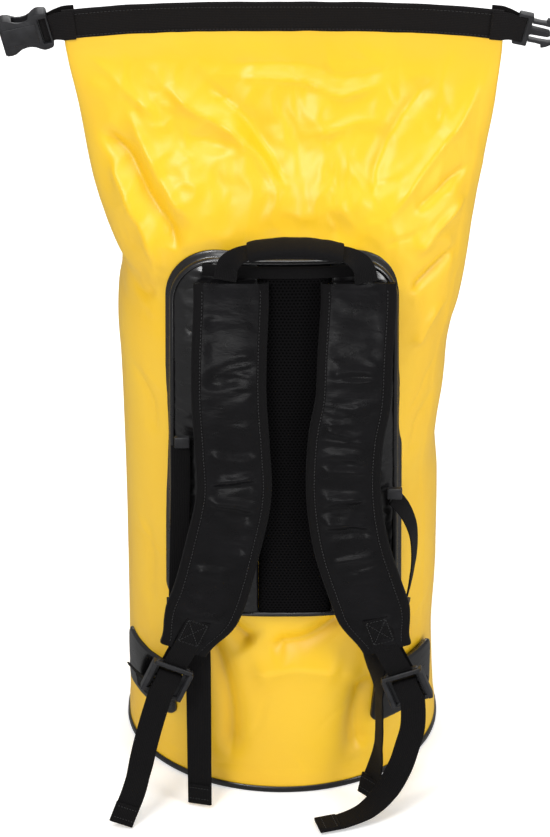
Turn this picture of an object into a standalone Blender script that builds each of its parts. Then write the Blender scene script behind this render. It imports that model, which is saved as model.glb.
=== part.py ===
"""Roll-top dry bag with backpack harness, standing on its round base.

Metres, +Z up. The origin is the centre of the base's underside. The harness is on the -Y side.
"""

import bpy
import math
from mathutils import Matrix, Vector

# ---------------------------------------------------------------- driving dimensions (metres)
BAG_HEIGHT = 0.8325         # mouth edge above the ground, bag unrolled
JOIN_HEIGHT = 0.45          # where the lower and the upper fabric tube are welded together
FOLD_HEIGHT = 0.7602        # first fold line of the roll-top
WALL = 0.0012               # coated fabric
GAP = 0.0003                # clearance between touching pieces
WEB = 0.0014                # webbing thickness
SEGMENTS = 48               # sides of the fabric tube
MOUTH_HALF = 0.0057         # half depth of the flattened mouth, outside
MOUTH_DROOP = 0.010         # how far the mouth's ends hang below its middle
MOUTH_END = 0.2125          # half width of the mouth

# height, half width, half depth, squareness of the harness side, squareness of the far side
STATIONS = [
    (0.000, 0.1500, 0.1400, 2.0, 2.0),
    (0.070, 0.1510, 0.1412, 2.3, 2.0),
    (0.170, 0.1512, 0.1418, 2.7, 2.0),
    (0.400, 0.1512, 0.1410, 2.8, 2.0),
    (0.480, 0.1570, 0.1370, 2.8, 2.0),
    (0.560, 0.1690, 0.1225, 2.6, 2.0),
    (0.640, 0.1850, 0.0970, 2.3, 2.0),
    (0.710, 0.1965, 0.0520, 2.1, 2.1),
    (0.745, 0.2045, 0.0180, 2.6, 2.6),
    (FOLD_HEIGHT, 0.2070, MOUTH_HALF, 6.0, 6.0),
    (BAG_HEIGHT, MOUTH_END, MOUTH_HALF, 6.0, 6.0),
]

PANEL_LOW, PANEL_HIGH = 0.216, 0.609
PANEL_LEFT, PANEL_RIGHT = -0.109, 0.111
PANEL_CORNER = 0.048        # radius of the panel's top corners
PANEL_CORNER_LOW = 0.018    # radius of its bottom corners
STRIP_LEFT, STRIP_RIGHT = -0.0155, 0.0466
PAD_BACK, PAD_FRONT = 0.0022, 0.0100
COVER_FRONT = 0.0118
PIPING_WIDTH = 0.0050

RIM_HEIGHT = 0.020
BAND_WIDTH = 0.0325
STRAP_WIDTH = 0.0730
STRAP_HALF = 0.0045         # half thickness of the padded shoulder strap
BINDING_WIDTH = 0.0095
WEBBING_WIDTH = 0.0245

# ---------------------------------------------------------------- routes of the harness
SHOULDER_ROUTES = {
    "left": [(-0.050, -0.1305, 0.592), (-0.050, -0.1385, 0.570), (-0.052, -0.1535, 0.520),
             (-0.052, -0.1605, 0.474), (-0.049, -0.1630, 0.420), (-0.0475, -0.1635, 0.366),
             (-0.058, -0.1640, 0.307), (-0.072, -0.1635, 0.246), (-0.0885, -0.1610, 0.205),
             (-0.097, -0.1595, 0.184)],
    "right": [(0.073, -0.1305, 0.592), (0.073, -0.1385, 0.570), (0.070, -0.1525, 0.520),
              (0.068, -0.1595, 0.474), (0.061, -0.1630, 0.430), (0.059, -0.1635, 0.370),
              (0.066, -0.1640, 0.310), (0.0805, -0.1630, 0.255), (0.094, -0.1605, 0.210),
              (0.102, -0.1590, 0.184)],
}
LOCK_PLACES = {             # centre of each ladder lock, and its lean about the Y axis
    "left": ((-0.1130, -0.1590, 0.1480), math.radians(23)),
    "right": ((0.1215, -0.1590, 0.1390), math.radians(-20)),
}
TAIL_ROUTES = {
    "left": [(-0.1275, -0.1690, 0.1050), (-0.1345, -0.1770, 0.0800), (-0.1440, -0.1890, 0.0400),
             (-0.1580, -0.2030, 0.0060)],
    "right": [(0.1270, -0.1690, 0.0980), (0.1215, -0.1730, 0.0760), (0.1140, -0.1765, 0.0530),
              (0.1010, -0.1805, 0.0290), (0.0820, -0.1885, 0.0115), (0.0590, -0.1970, 0.0048),
              (0.0350, -0.2040, 0.0042)],
}
TAIL_TURNS = {              # how far the tail's width swings round at each point, degrees
    "left": [18, 14, 12, 12],
    "right": [-14, -24, -36, -50, -62, -70, -72],
}
WAIST_ROUTES = {
    "left": [(-0.0825, -0.1465, 0.1740), (-0.0820, -0.1500, 0.1200), (-0.0815, -0.1560, 0.0600),
             (-0.0810, -0.1650, 0.0040)],
    "right": [(0.0885, -0.1465, 0.1740), (0.0940, -0.1450, 0.1150), (0.0935, -0.1530, 0.0550),
              (0.0830, -0.1590, 0.0090)],
}
WAIST_TURNS = {"left": [0, -8, -14, -20], "right": [-20, -72, -74, -40]}
STERNUM_ROUTES = {
    "left": [(-0.0990, -0.1460, 0.4130), (-0.0990, -0.1460, 0.3700), (-0.1000, -0.1460, 0.3200),
             (-0.1015, -0.1455, 0.2350)],
    "right": [(0.1080, -0.1420, 0.3500), (0.1185, -0.1420, 0.3350), (0.1265, -0.1400, 0.3120),
              (0.1280, -0.1390, 0.2820), (0.1245, -0.1390, 0.2500), (0.1205, -0.1395, 0.2270)],
}
SLIDER_PLACES = {"left": (-0.0975, -0.1500, 0.4200), "right": (0.1085, -0.1500, 0.3600)}
STERNUM_WIDTH = 0.0190

# ---------------------------------------------------------------- colours
YELLOW = (0.980, 0.640, 0.030)
BLACK_GLOSS = (0.030, 0.029, 0.034)
BLACK_WEB = (0.020, 0.020, 0.022)
BLACK_MESH = (0.012, 0.012, 0.013)
CHARCOAL = (0.060, 0.060, 0.066)
FOAM_GREY = (0.200, 0.200, 0.210)


# ---------------------------------------------------------------- helpers
def clear_scene():
    for obj in list(bpy.data.objects):
        bpy.data.objects.remove(obj, do_unlink=True)


def material(name, colour, roughness, metallic=0.0):
    made = bpy.data.materials.get(name)
    if made is None:
        made = bpy.data.materials.new(name)
        made.use_nodes = True
        shader = made.node_tree.nodes["Principled BSDF"]
        shader.inputs["Base Color"].default_value = (*colour, 1.0)
        shader.inputs["Roughness"].default_value = roughness
        shader.inputs["Metallic"].default_value = metallic
    return made


def add_object(name, verts, faces, finish, origin=(0.0, 0.0, 0.0)):
    """One named object whose mesh is given in world coordinates and whose origin is on its joint."""
    origin = Vector(origin)
    mesh = bpy.data.meshes.new(name)
    mesh.from_pydata([Vector(v) - origin for v in verts], [], faces)
    mesh.update()
    obj = bpy.data.objects.new(name, mesh)
    obj.location = origin
    bpy.context.scene.collection.objects.link(obj)
    colour, roughness = finish
    obj.data.materials.append(material(name, colour, roughness))
    return obj


def bridge(rings, faces, closed_chain=False):
    """Quads between neighbouring rings of equal length; rings holds lists of vertex indices."""
    pairs = list(zip(rings, rings[1:]))
    if closed_chain:
        pairs.append((rings[-1], rings[0]))
    for low, high in pairs:
        count = len(low)
        for i in range(count):
            j = (i + 1) % count
            faces.append((low[i], low[j], high[j], high[i]))


def face_outward(obj):
    """Flip the mesh if its signed volume is negative."""
    mesh = obj.data
    mesh.calc_loop_triangles()
    volume = 0.0
    for tri in mesh.loop_triangles:
        a, b, c = (mesh.vertices[i].co for i in tri.vertices)
        volume += a.dot(b.cross(c))
    if volume < 0.0:
        mesh.flip_normals()
    return obj


def loft(name, sections, finish, origin=(0.0, 0.0, 0.0), ring=False):
    """A solid through closed sections of equal length, capped at both ends unless it is a ring."""
    verts, rings, faces = [], [], []
    for section in sections:
        rings.append(range(len(verts), len(verts) + len(section)))
        verts.extend(section)
    rings = [list(r) for r in rings]
    bridge(rings, faces, closed_chain=ring)
    if not ring:
        faces.append(tuple(reversed(rings[0])))
        faces.append(tuple(rings[-1]))
    return face_outward(add_object(name, verts, faces, finish, origin))


def shell(name, outer, inner, finish, origin=(0.0, 0.0, 0.0)):
    """An open-ended wall between outer and inner sections that correspond one to one."""
    return loft(name, outer + inner[::-1], finish, origin, ring=True)


def patch(name, rows, finish, origin=(0.0, 0.0, 0.0)):
    """A closed slab; each row is a list of (back point, front point) pairs of equal length."""
    sections = [[pair[0] for pair in row] + [pair[1] for pair in reversed(row)] for row in rows]
    verts, faces = [], []
    for section in sections:
        verts.extend(section)
    size = len(sections[0])
    half = size // 2
    rings = [list(range(i * size, (i + 1) * size)) for i in range(len(sections))]
    bridge(rings, faces)
    for ring, flip in ((rings[0], True), (rings[-1], False)):
        for i in range(half - 1):
            quad = (ring[i], ring[i + 1], ring[size - 2 - i], ring[size - 1 - i])
            faces.append(tuple(reversed(quad)) if flip else quad)
    return face_outward(add_object(name, verts, faces, finish, origin))


def smooth_table(table, at):
    """Cubic interpolation through (key, values...) rows, with slopes that never overshoot."""
    keys = [row[0] for row in table]
    at = min(max(at, keys[0]), keys[-1])
    k = max(i for i in range(len(keys) - 1) if keys[i] <= at)
    values = []
    for column in range(1, len(table[0])):
        heights = [row[column] for row in table]
        rises = [(heights[i + 1] - heights[i]) / (keys[i + 1] - keys[i]) for i in range(len(keys) - 1)]

        def slope(i):
            if i == 0 or i == len(keys) - 1:
                return 0.0
            before, after = rises[i - 1], rises[i]
            return 0.0 if before * after <= 0.0 else 2.0 * before * after / (before + after)

        width = keys[k + 1] - keys[k]
        t = (at - keys[k]) / width
        values.append(
            heights[k] * (2 * t**3 - 3 * t**2 + 1)
            + slope(k) * width * (t**3 - 2 * t**2 + t)
            + heights[k + 1] * (3 * t**2 - 2 * t**3)
            + slope(k + 1) * width * (t**3 - t**2)
        )
    return values


def smooth_route(points, steps):
    """Catmull-Rom curve through the route's points, read at steps + 1 even places per span."""
    pts = [Vector(p) for p in points]
    pts = [pts[0] * 2 - pts[1]] + pts + [pts[-1] * 2 - pts[-2]]
    route = []
    for i in range(1, len(pts) - 2):
        p0, p1, p2, p3 = pts[i - 1 : i + 3]
        for s in range(steps):
            t = s / steps
            route.append(0.5 * (2 * p1 + (p2 - p0) * t + (2 * p0 - 5 * p1 + 4 * p2 - p3) * t**2
                                + (3 * p1 - p0 - 3 * p2 + p3) * t**3))
    route.append(pts[-2])
    return route


def tangents(route):
    last = len(route) - 1
    return [(route[min(i + 1, last)] - route[max(i - 1, 0)]).normalized() for i in range(last + 1)]


def ribbon_sections(route, side_hints, width, thickness, shift=0.0, lift=0.0):
    """Rectangles across a route. A hint is the rough direction of the width at that point; shift
    moves the rectangle along the width, lift along the ribbon's outward normal."""
    sections = []
    for point, tangent, hint in zip(route, tangents(route), side_hints):
        side = (hint - tangent * hint.dot(tangent)).normalized()
        normal = side.cross(tangent)
        middle = point + side * shift + normal * lift
        across, through = side * width / 2, normal * thickness / 2
        sections.append([middle - across - through, middle + across - through,
                         middle + across + through, middle - across + through])
    return sections


def spread(values, count):
    """Linear reading of a short list of values at count even places."""
    read = []
    for i in range(count):
        t = i / (count - 1) * (len(values) - 1)
        k = min(int(t), len(values) - 2)
        read.append(values[k] + (values[k + 1] - values[k]) * (t - k))
    return read


def box_points(low, high):
    return [Vector((x, y, z)) for z in (low[2], high[2])
            for x, y in ((low[0], low[1]), (high[0], low[1]), (high[0], high[1]), (low[0], high[1]))]


def box_object(name, low, high, finish, origin=(0.0, 0.0, 0.0)):
    points = box_points(low, high)
    return loft(name, [points[:4], points[4:]], finish, origin)


def prism(name, outline, thickness, finish):
    """A flat outline of (x, z) points extruded along Y, centred on Y = 0."""
    front = [Vector((x, -thickness / 2, z)) for x, z in outline]
    back = [Vector((x, thickness / 2, z)) for x, z in outline]
    return loft(name, [front, back], finish)


def cut(obj, low, high):
    """Boolean difference with a box given in the object's own coordinates before it is placed."""
    cutter = box_object(obj.name + "_cutter", low, high, (BLACK_WEB, 0.5))
    cutter.hide_render = True
    cutter.display_type = "WIRE"
    cutter.parent = obj
    step = obj.modifiers.new("cut", "BOOLEAN")
    step.operation = "DIFFERENCE"
    step.object = cutter
    return obj


def bevel(obj, width, segments=1):
    step = obj.modifiers.new("edges", "BEVEL")
    step.width = width
    step.segments = segments
    step.limit_method = "ANGLE"
    return obj


# ---------------------------------------------------------------- the fabric tube
def droop(x, z):
    """The mouth's ends hang lower than its middle; the fold line and below stay level."""
    share = min(max((z - FOLD_HEIGHT) / (BAG_HEIGHT - FOLD_HEIGHT), 0.0), 1.0)
    return -MOUTH_DROOP * share * abs(x / MOUTH_END) ** 3


def tube_section(z, inset=0.0, count=SEGMENTS):
    """One level section of the tube, inset from its outer surface."""
    half_x, half_y, near, far = smooth_table(STATIONS, z)
    ring = []
    for i in range(count):
        angle = 2 * math.pi * i / count
        c, s = math.cos(angle), math.sin(angle)
        power = 2.0 / (near if s < 0.0 else far)
        x = math.copysign(abs(c) ** power, c) * (half_x - inset)
        y = math.copysign(abs(s) ** power, s) * (half_y - inset)
        ring.append(Vector((x, y, z + droop(x, z))))
    return ring


def front_y(x, z, offset=0.0):
    """The tube's harness-side surface, moved outward by offset along -Y."""
    half_x, half_y, near, far = smooth_table(STATIONS, z)
    share = max(1.0 - abs(x / half_x) ** near, 0.0)
    return -half_y * share ** (1.0 / near) - offset


def make_tube():
    fabric = (YELLOW, 0.32)
    spans = {
        "tube_lower": [0.0, RIM_HEIGHT, 0.07, 0.17, 0.40, JOIN_HEIGHT],
        "tube_upper": [JOIN_HEIGHT + GAP, 0.50, 0.56, 0.62, 0.68, 0.72, 0.745, FOLD_HEIGHT - GAP],
    }
    for name, heights in spans.items():
        shell(name, [tube_section(z) for z in heights],
              [tube_section(z, WALL) for z in heights], fabric)
    heights = [FOLD_HEIGHT, 0.80, BAG_HEIGHT]
    shell("mouth_section", [tube_section(z) for z in heights],
          [tube_section(z, WALL) for z in heights], fabric, origin=FOLD_AXIS)


def make_base():
    inner = WALL + GAP
    loft("base_panel", [tube_section(z, inner) for z in (0.0, 0.0030)], (BLACK_GLOSS, 0.4))
    levels = (0.0, RIM_HEIGHT)
    shell("base_rim", [tube_section(z, -(0.0020 + GAP)) for z in levels],
          [tube_section(z, -GAP) for z in levels], (BLACK_GLOSS, 0.3))


# ---------------------------------------------------------------- roll-top closure
FOLD_AXIS = (0.0, -(MOUTH_HALF + 0.0005), FOLD_HEIGHT)


def band(name, near, far, low, high, half_length, finish):
    """A flat strip along the mouth between two Y planes, following the mouth's droop."""
    rows = []
    steps = 16
    for i in range(steps + 1):
        x = -half_length + 2 * half_length * i / steps
        drop = -MOUTH_DROOP * abs(x / MOUTH_END) ** 3
        rows.append([Vector((x, near, low + drop)), Vector((x, far, low + drop)),
                     Vector((x, far, high + drop)), Vector((x, near, high + drop))])
    return loft(name, rows, finish, FOLD_AXIS)


def make_bands():
    face = MOUTH_HALF + GAP
    top, low = BAG_HEIGHT - 0.0005, BAG_HEIGHT - BAND_WIDTH
    band("front_mouth_band", -face - WEB, -face, low, top, MOUTH_END, (BLACK_WEB, 0.75))
    stiff = 0.0012
    band("mouth_stiffener", face, face + stiff, low + 0.004, top - 0.004, MOUTH_END - 0.004,
         (FOAM_GREY, 0.5))
    behind = face + stiff + GAP
    band("rear_mouth_band", behind, behind + WEB, low, top, MOUTH_END, (BLACK_WEB, 0.75))


TAB_Z = BAG_HEIGHT - 0.0285
TAB_TILT = math.radians(14) # how far the buckles hang below the line of the mouth
BAR_REACH = 0.0130          # from the tab's hinge to the bar that its webbing loops round
BAR_HALF = 0.0018           # half thickness of that bar
BAR_SLOT = 0.0065           # clear space on each side of the bar's centre
SLOT_HALF = 0.0145          # half length of the webbing slots
LEFT_HINGE = (-(MOUTH_END + 0.0050), 0.0, TAB_Z)
RIGHT_HINGE = (MOUTH_END + 0.0050, 0.0, TAB_Z)


def make_tab(name, hinge, toward):
    """Webbing tab: two plies that loop round the buckle's bar, folded at the far end."""
    x0 = hinge[0] + toward * 0.0012
    bar = hinge[0] + toward * BAR_REACH
    ply = 0.0035
    route = [Vector((x0, -ply, 0)), Vector((bar - toward * 0.002, -ply, 0))]
    for i in range(1, 6):
        angle = math.pi * i / 6
        route.append(Vector((bar + toward * ply * math.sin(angle), -ply * math.cos(angle), 0)))
    route += [Vector((bar - toward * 0.002, ply, 0)), Vector((x0, ply, 0))]
    lift = Vector((0, 0, TAB_Z))
    hints = [Vector((0, 0, 1))] * len(route)
    sections = ribbon_sections([p + lift for p in route], hints, 0.0270, 0.0012)
    tab = loft(name, sections, (BLACK_WEB, 0.75), hinge)
    tab.rotation_euler.y = toward * TAB_TILT


def make_female_buckle():
    """Waisted side-release socket on the left tab; its mouth faces away from the bag."""
    x0 = LEFT_HINGE[0] - BAR_REACH + 0.0055
    length = 0.0480
    outline = [(x0, -0.0195), (x0, 0.0195), (x0 - 0.010, 0.0205), (x0 - 0.016, 0.0175),
               (x0 - 0.023, 0.0140), (x0 - 0.031, 0.0150), (x0 - 0.038, 0.0195),
               (x0 - length, 0.0190), (x0 - length, -0.0190), (x0 - 0.038, -0.0195),
               (x0 - 0.031, -0.0150), (x0 - 0.023, -0.0140), (x0 - 0.016, -0.0175),
               (x0 - 0.010, -0.0205)]
    body = prism("female_buckle", outline, 0.0130, (CHARCOAL, 0.42))
    cut(body, (x0 - length - 0.002, -0.0042, -0.0150), (x0 - 0.0150, 0.0042, 0.0150))
    cut(body, (x0 - 0.0345, -0.0042, -0.0300), (x0 - 0.0180, 0.0042, 0.0300))
    cut_bar(body, LEFT_HINGE[0] - BAR_REACH)
    place_on_tab(body, LEFT_HINGE, -1)
    bevel(body, 0.0008)


def cut_bar(body, bar):
    """Open the webbing slots on both sides of a thin bar that stays at X = bar."""
    for side in (-1, 1):
        ends = sorted((bar + side * BAR_HALF, bar + side * BAR_SLOT))
        cut(body, (ends[0], -0.0100, -SLOT_HALF), (ends[1], 0.0100, SLOT_HALF))
        faces = sorted((side * BAR_HALF, side * 0.0100))
        cut(body, (bar - 0.0030, faces[0], -SLOT_HALF), (bar + 0.0030, faces[1], SLOT_HALF))


def place_on_tab(obj, hinge, toward):
    """Lift a buckle piece drawn round Z = 0 to its tab, tilted about the tab's hinge."""
    shift = Matrix.Translation((-hinge[0], 0, 0))
    obj.data.transform(shift)
    for child in obj.children:
        child.data.transform(shift)
    obj.location = hinge
    obj.rotation_euler.y = toward * TAB_TILT


PRONG_LENGTH = 0.0235
PRONG_REACH = BAR_REACH + 0.0090    # from the tab's hinge to the prongs' roots
PRONG_Z = 0.0105            # height of each side prong's root above the buckle's middle


def make_male_buckle():
    """Body with webbing bar and centre guide; the two barbed side prongs are pieces of their own."""
    x0 = RIGHT_HINGE[0] + BAR_REACH - 0.0055
    outline = [(x0, -0.0175), (x0 + 0.0142, -0.0175), (x0 + 0.0142, -0.0035),
               (x0 + 0.0325, -0.0025), (x0 + 0.0345, 0.0), (x0 + 0.0325, 0.0025),
               (x0 + 0.0142, 0.0035), (x0 + 0.0142, 0.0175), (x0, 0.0175)]
    body = prism("male_buckle", outline, 0.0070, (CHARCOAL, 0.42))
    cut_bar(body, RIGHT_HINGE[0] + BAR_REACH)
    place_on_tab(body, RIGHT_HINGE, 1)
    bevel(body, 0.0006)
    for name, sign in (("upper_prong", 1), ("lower_prong", -1)):
        make_prong(name, sign)


def make_prong(name, sign):
    """A slender arm with a barbed head; its origin is at the flexing root."""
    arm = [(0.0, -0.0015), (PRONG_LENGTH * 0.62, -0.0013), (PRONG_LENGTH, -0.0030),
           (PRONG_LENGTH - 0.0010, 0.0010), (PRONG_LENGTH * 0.60, 0.0055),
           (PRONG_LENGTH * 0.55, 0.0018), (0.0, 0.0018)]
    outline = [(x, z * sign) for x, z in arm]
    prong = prism(name, outline, 0.0060, (CHARCOAL, 0.42))
    tilt = Matrix.Rotation(TAB_TILT, 3, "Y")
    prong.location = Vector(RIGHT_HINGE) + tilt @ Vector((PRONG_REACH, 0.0, PRONG_Z * sign))
    prong.rotation_euler.y = TAB_TILT


# ---------------------------------------------------------------- back panel
def panel_edge(z, grow):
    """Left and right edge of the panel's outline at height z, grown outward by grow."""
    low, high = PANEL_LOW - grow, PANEL_HIGH + grow
    cut_in = 0.0
    for corner, depth in ((PANEL_CORNER + grow, high - z), (PANEL_CORNER_LOW + grow, z - low)):
        if depth < corner:
            cut_in = corner - math.sqrt(max(corner**2 - (corner - depth) ** 2, 0.0))
    return PANEL_LEFT - grow + cut_in, PANEL_RIGHT + grow - cut_in


def panel_rows(grow, left_limit, right_limit, back, front, columns):
    """Rows of (back, front) points of a slab that follows the tube inside the panel's outline."""
    low, high = PANEL_LOW - grow, PANEL_HIGH + grow
    heights = [low + d for d in (0.0, 0.006, 0.018)]
    heights += [low + 0.018 + (high - 0.068 - low) * i / 6 for i in range(1, 7)]
    heights += [high - d for d in (0.036, 0.022, 0.011, 0.004, 0.0)]
    rows = []
    for z in heights:
        left, right = panel_edge(z, grow)
        left, right = max(left, left_limit), min(right, right_limit)
        row = []
        for i in range(columns + 1):
            x = left + (right - left) * i / columns
            row.append((Vector((x, front_y(x, z, back), z)), Vector((x, front_y(x, z, front), z))))
        rows.append(row)
    return rows


def make_back_panel():
    inner = -0.0060
    patch("back_pad_foam", panel_rows(inner - 0.002, -1, 1, PAD_BACK, PAD_FRONT, 10),
          (FOAM_GREY, 0.9))
    back = PAD_FRONT + 0.0008
    patch("left_panel_cover", panel_rows(inner, -1, STRIP_LEFT, back, COVER_FRONT, 4),
          (BLACK_GLOSS, 0.3))
    patch("right_panel_cover", panel_rows(inner, STRIP_RIGHT, 1, back, COVER_FRONT, 4),
          (BLACK_GLOSS, 0.3))
    patch("mesh_strip", panel_rows(inner, STRIP_LEFT + GAP, STRIP_RIGHT - GAP, back,
                                   COVER_FRONT + 0.0006, 4), (BLACK_MESH, 0.95))
    make_piping()


def corner_arc(x, z, radius, start):
    """Points of a quarter circle about (x, z), from the start angle, with their directions."""
    arc = []
    for i in range(7):
        angle = start + math.pi / 2 * i / 6
        direction = (math.cos(angle), math.sin(angle))
        arc.append((x + radius * direction[0], z + radius * direction[1], direction))
    return arc


def panel_outline():
    """The panel's outline as (x, z, outward direction), anticlockwise from the lower right."""
    top, low = PANEL_CORNER, PANEL_CORNER_LOW
    outline = corner_arc(PANEL_RIGHT - low, PANEL_LOW + low, low, -math.pi / 2)
    for i in range(1, 8):
        z = PANEL_LOW + low + (PANEL_HIGH - top - PANEL_LOW - low) * i / 8
        outline.append((PANEL_RIGHT, z, (1.0, 0.0)))
    outline += corner_arc(PANEL_RIGHT - top, PANEL_HIGH - top, top, 0.0)
    for i in range(1, 6):
        x = PANEL_RIGHT - top + (PANEL_LEFT + 2 * top - PANEL_RIGHT) * i / 6
        outline.append((x, PANEL_HIGH, (0.0, 1.0)))
    outline += corner_arc(PANEL_LEFT + top, PANEL_HIGH - top, top, math.pi / 2)
    for i in range(1, 8):
        z = PANEL_HIGH - top + (PANEL_LOW + low - PANEL_HIGH + top) * i / 8
        outline.append((PANEL_LEFT, z, (-1.0, 0.0)))
    outline += corner_arc(PANEL_LEFT + low, PANEL_LOW + low, low, math.pi)
    for i in range(1, 8):
        x = PANEL_LEFT + low + (PANEL_RIGHT - low - PANEL_LEFT - low) * i / 8
        outline.append((x, PANEL_LOW, (0.0, -1.0)))
    return outline


def make_piping():
    """Edge piping: it closes the panel's sides from the fabric up to the cover."""
    sections = []
    for x, z, (out_x, out_z) in panel_outline():
        corners = []
        for reach, offset in ((-PIPING_WIDTH, 0.0022), (0.0, 0.0022), (0.0, 0.0100),
                              (-PIPING_WIDTH, COVER_FRONT)):
            px, pz = x + out_x * reach, z + out_z * reach
            corners.append(Vector((px, front_y(px, pz, offset), pz)))
        sections.append(corners)
    loft("panel_piping", sections, (BLACK_GLOSS, 0.35), ring=True)


YOKE_LEFT, YOKE_RIGHT = -0.074, 0.078


def make_yoke():
    """Sewn strip across the panel's top that holds the straps and the haul handle."""
    rows = []
    for z in (PANEL_HIGH - 0.0145, PANEL_HIGH - 0.0045):
        row = []
        for i in range(13):
            x = YOKE_LEFT + (YOKE_RIGHT - YOKE_LEFT) * i / 12
            row.append((Vector((x, front_y(x, z, COVER_FRONT + 0.0018), z)),
                        Vector((x, front_y(x, z, COVER_FRONT + 0.0036), z))))
        rows.append(row)
    patch("strap_yoke", rows, (BLACK_WEB, 0.75))


# ---------------------------------------------------------------- haul handle
HANDLE_AXIS = (0.012, -0.1355, 0.5975)
HANDLE_ROUTE = [(-0.056, -0.1355, 0.5990), (-0.051, -0.1355, 0.6185), (-0.030, -0.1355, 0.6315),
                (0.012, -0.1355, 0.6360), (0.055, -0.1355, 0.6300), (0.076, -0.1355, 0.6160),
                (0.081, -0.1355, 0.5960)]
HANDLE_SPIN = [0, 50, 85, 90, 95, 130, 180]    # the width's turn from +X towards -Y, degrees


def make_handle():
    route = smooth_route(HANDLE_ROUTE, 3)
    turns = [math.radians(a) for a in spread(HANDLE_SPIN, len(route))]
    hints = [Vector((math.cos(a), -math.sin(a), 0.0)) for a in turns]
    loft("haul_handle", ribbon_sections(route, hints, 0.0220, 0.0016), (BLACK_WEB, 0.75),
         HANDLE_AXIS)
    grip_route, grip_hints = route[6:-6], hints[6:-6]
    rings = {}
    for name, half_width, half_thick in (("outer", 0.0150, 0.0060), ("inner", 0.0128, 0.0024)):
        rings[name] = []
        for point, tangent, hint in zip(grip_route, tangents(grip_route), grip_hints):
            side = (hint - tangent * hint.dot(tangent)).normalized()
            normal = side.cross(tangent)
            ring = []
            for i in range(12):
                angle = 2 * math.pi * i / 12
                c, s = math.cos(angle), math.sin(angle)
                wide = math.copysign(abs(c) ** 0.6, c) * half_width
                thick = math.copysign(abs(s) ** 0.6, s) * half_thick
                ring.append(point + side * wide + normal * thick)
            rings[name].append(ring)
    shell("handle_grip", rings["outer"], rings["inner"], (BLACK_GLOSS, 0.4), HANDLE_AXIS)


# ---------------------------------------------------------------- shoulder straps
def make_shoulder_strap(side):
    """Foam core between a glossy face and a mesh back, with webbing binding on both edges."""
    points = SHOULDER_ROUTES[side]
    hinge = points[0]
    route = smooth_route(points, 2)
    hints = [Vector((1.0, 0.0, 0.0))] * len(route)
    core_width = STRAP_WIDTH - 2 * BINDING_WIDTH
    loft(side + "_strap_foam", ribbon_sections(route, hints, core_width, 0.0060), (FOAM_GREY, 0.9),
         hinge)
    face_lift = STRAP_HALF - 0.0006
    for name, lift, finish in (("face", face_lift, (BLACK_GLOSS, 0.3)),
                               ("back", -face_lift, (BLACK_MESH, 0.95))):
        loft(side + "_strap_" + name,
             ribbon_sections(route, hints, core_width, 0.0010, lift=lift), finish, hinge)
    offset = core_width / 2 + GAP + BINDING_WIDTH / 2
    outward = -1 if side == "left" else 1
    for name, shift in (("outer", outward * offset), ("inner", -outward * offset)):
        loft(side + "_strap_" + name + "_binding",
             ribbon_sections(route, hints, BINDING_WIDTH, 0.0070, shift=shift),
             (BLACK_WEB, 0.75), hinge)


def lock_frame(side):
    """World matrix of a ladder lock: local X along its bars, local Z up its length."""
    place, lean = LOCK_PLACES[side]
    return Matrix.Translation(place) @ Matrix.Rotation(lean, 4, "Y")


LOCK_HALF = 0.0190
TOP_BAR = 0.0160            # centre of the top bar above the lock's middle


def make_ladder_lock(side):
    frame = lock_frame(side)
    outline = []
    radius = 0.0050
    for cx, cz, start in ((1, -1, -90), (1, 1, 0), (-1, 1, 90), (-1, -1, 180)):
        for i in range(4):
            angle = math.radians(start + 30 * i)
            outline.append((cx * (LOCK_HALF - radius) + radius * math.cos(angle),
                            cz * (LOCK_HALF - radius) + radius * math.sin(angle)))
    lock = prism(side + "_ladder_lock", outline, 0.0042, (CHARCOAL, 0.42))
    cut(lock, (-0.0145, -0.01, 0.0065), (0.0145, 0.01, 0.0139))
    cut(lock, (-0.0145, -0.01, -0.0045), (0.0145, 0.01, 0.0028))
    cut(lock, (-0.0145, -0.01, -0.0140), (0.0145, 0.01, -0.0073))
    pivot = Matrix.Translation((0, 0, -TOP_BAR))
    lock.data.transform(pivot)
    for child in lock.children:
        child.data.transform(pivot)
    lock.matrix_world = frame @ Matrix.Translation((0, 0, TOP_BAR))
    bevel(lock, 0.0005)


def make_end_webbing(side):
    """Webbing sewn to the strap's end, looped round the ladder lock's top bar."""
    arm = 0.0042
    gap = (Vector(SHOULDER_ROUTES[side][-1]) - Vector(LOCK_PLACES[side][0])).length
    reach = gap - 0.0060
    loop = [(reach, -arm), (0.0160, -arm)]
    loop += [(0.0160 - 0.0048 * math.sin(math.pi * i / 6), -arm * math.cos(math.pi * i / 6))
             for i in range(1, 6)]
    loop += [(0.0160, arm), (reach, arm)]
    frame = lock_frame(side)
    route = [frame @ Vector((0.0, depth, height)) for height, depth in loop]
    hint = frame.to_3x3() @ Vector((1.0, 0.0, 0.0))
    loft(side + "_end_webbing", ribbon_sections(route, [hint] * len(route), 0.0240, 0.0012),
         (BLACK_WEB, 0.75), SHOULDER_ROUTES[side][0])


def tail_axis(side):
    """Where the webbing tail leaves the ladder lock: in front of its lowest bar."""
    return lock_frame(side) @ Vector((0.0, -0.0042, -0.0120))


def make_tail(side):
    start = tail_axis(side)
    step = lock_frame(side) @ Vector((0.0, -0.0048, -0.0240))
    route = smooth_route([start, step] + TAIL_ROUTES[side], 4)
    lean = math.degrees(LOCK_PLACES[side][1])
    turns = [0, 0] + TAIL_TURNS[side]
    hints = []
    for turn in spread(turns, len(route)):
        hints.append(Matrix.Rotation(math.radians(turn), 3, "Z") @ Vector((1.0, 0.0, 0.0)))
    tilt = Matrix.Rotation(math.radians(lean), 3, "Y") @ Vector((1.0, 0.0, 0.0))
    for i in range(5):
        hints[i] = tilt.lerp(hints[i], i / 5)
    loft(side + "_webbing_tail", ribbon_sections(route, hints, WEBBING_WIDTH, WEB),
         (BLACK_WEB, 0.75), start)


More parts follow.
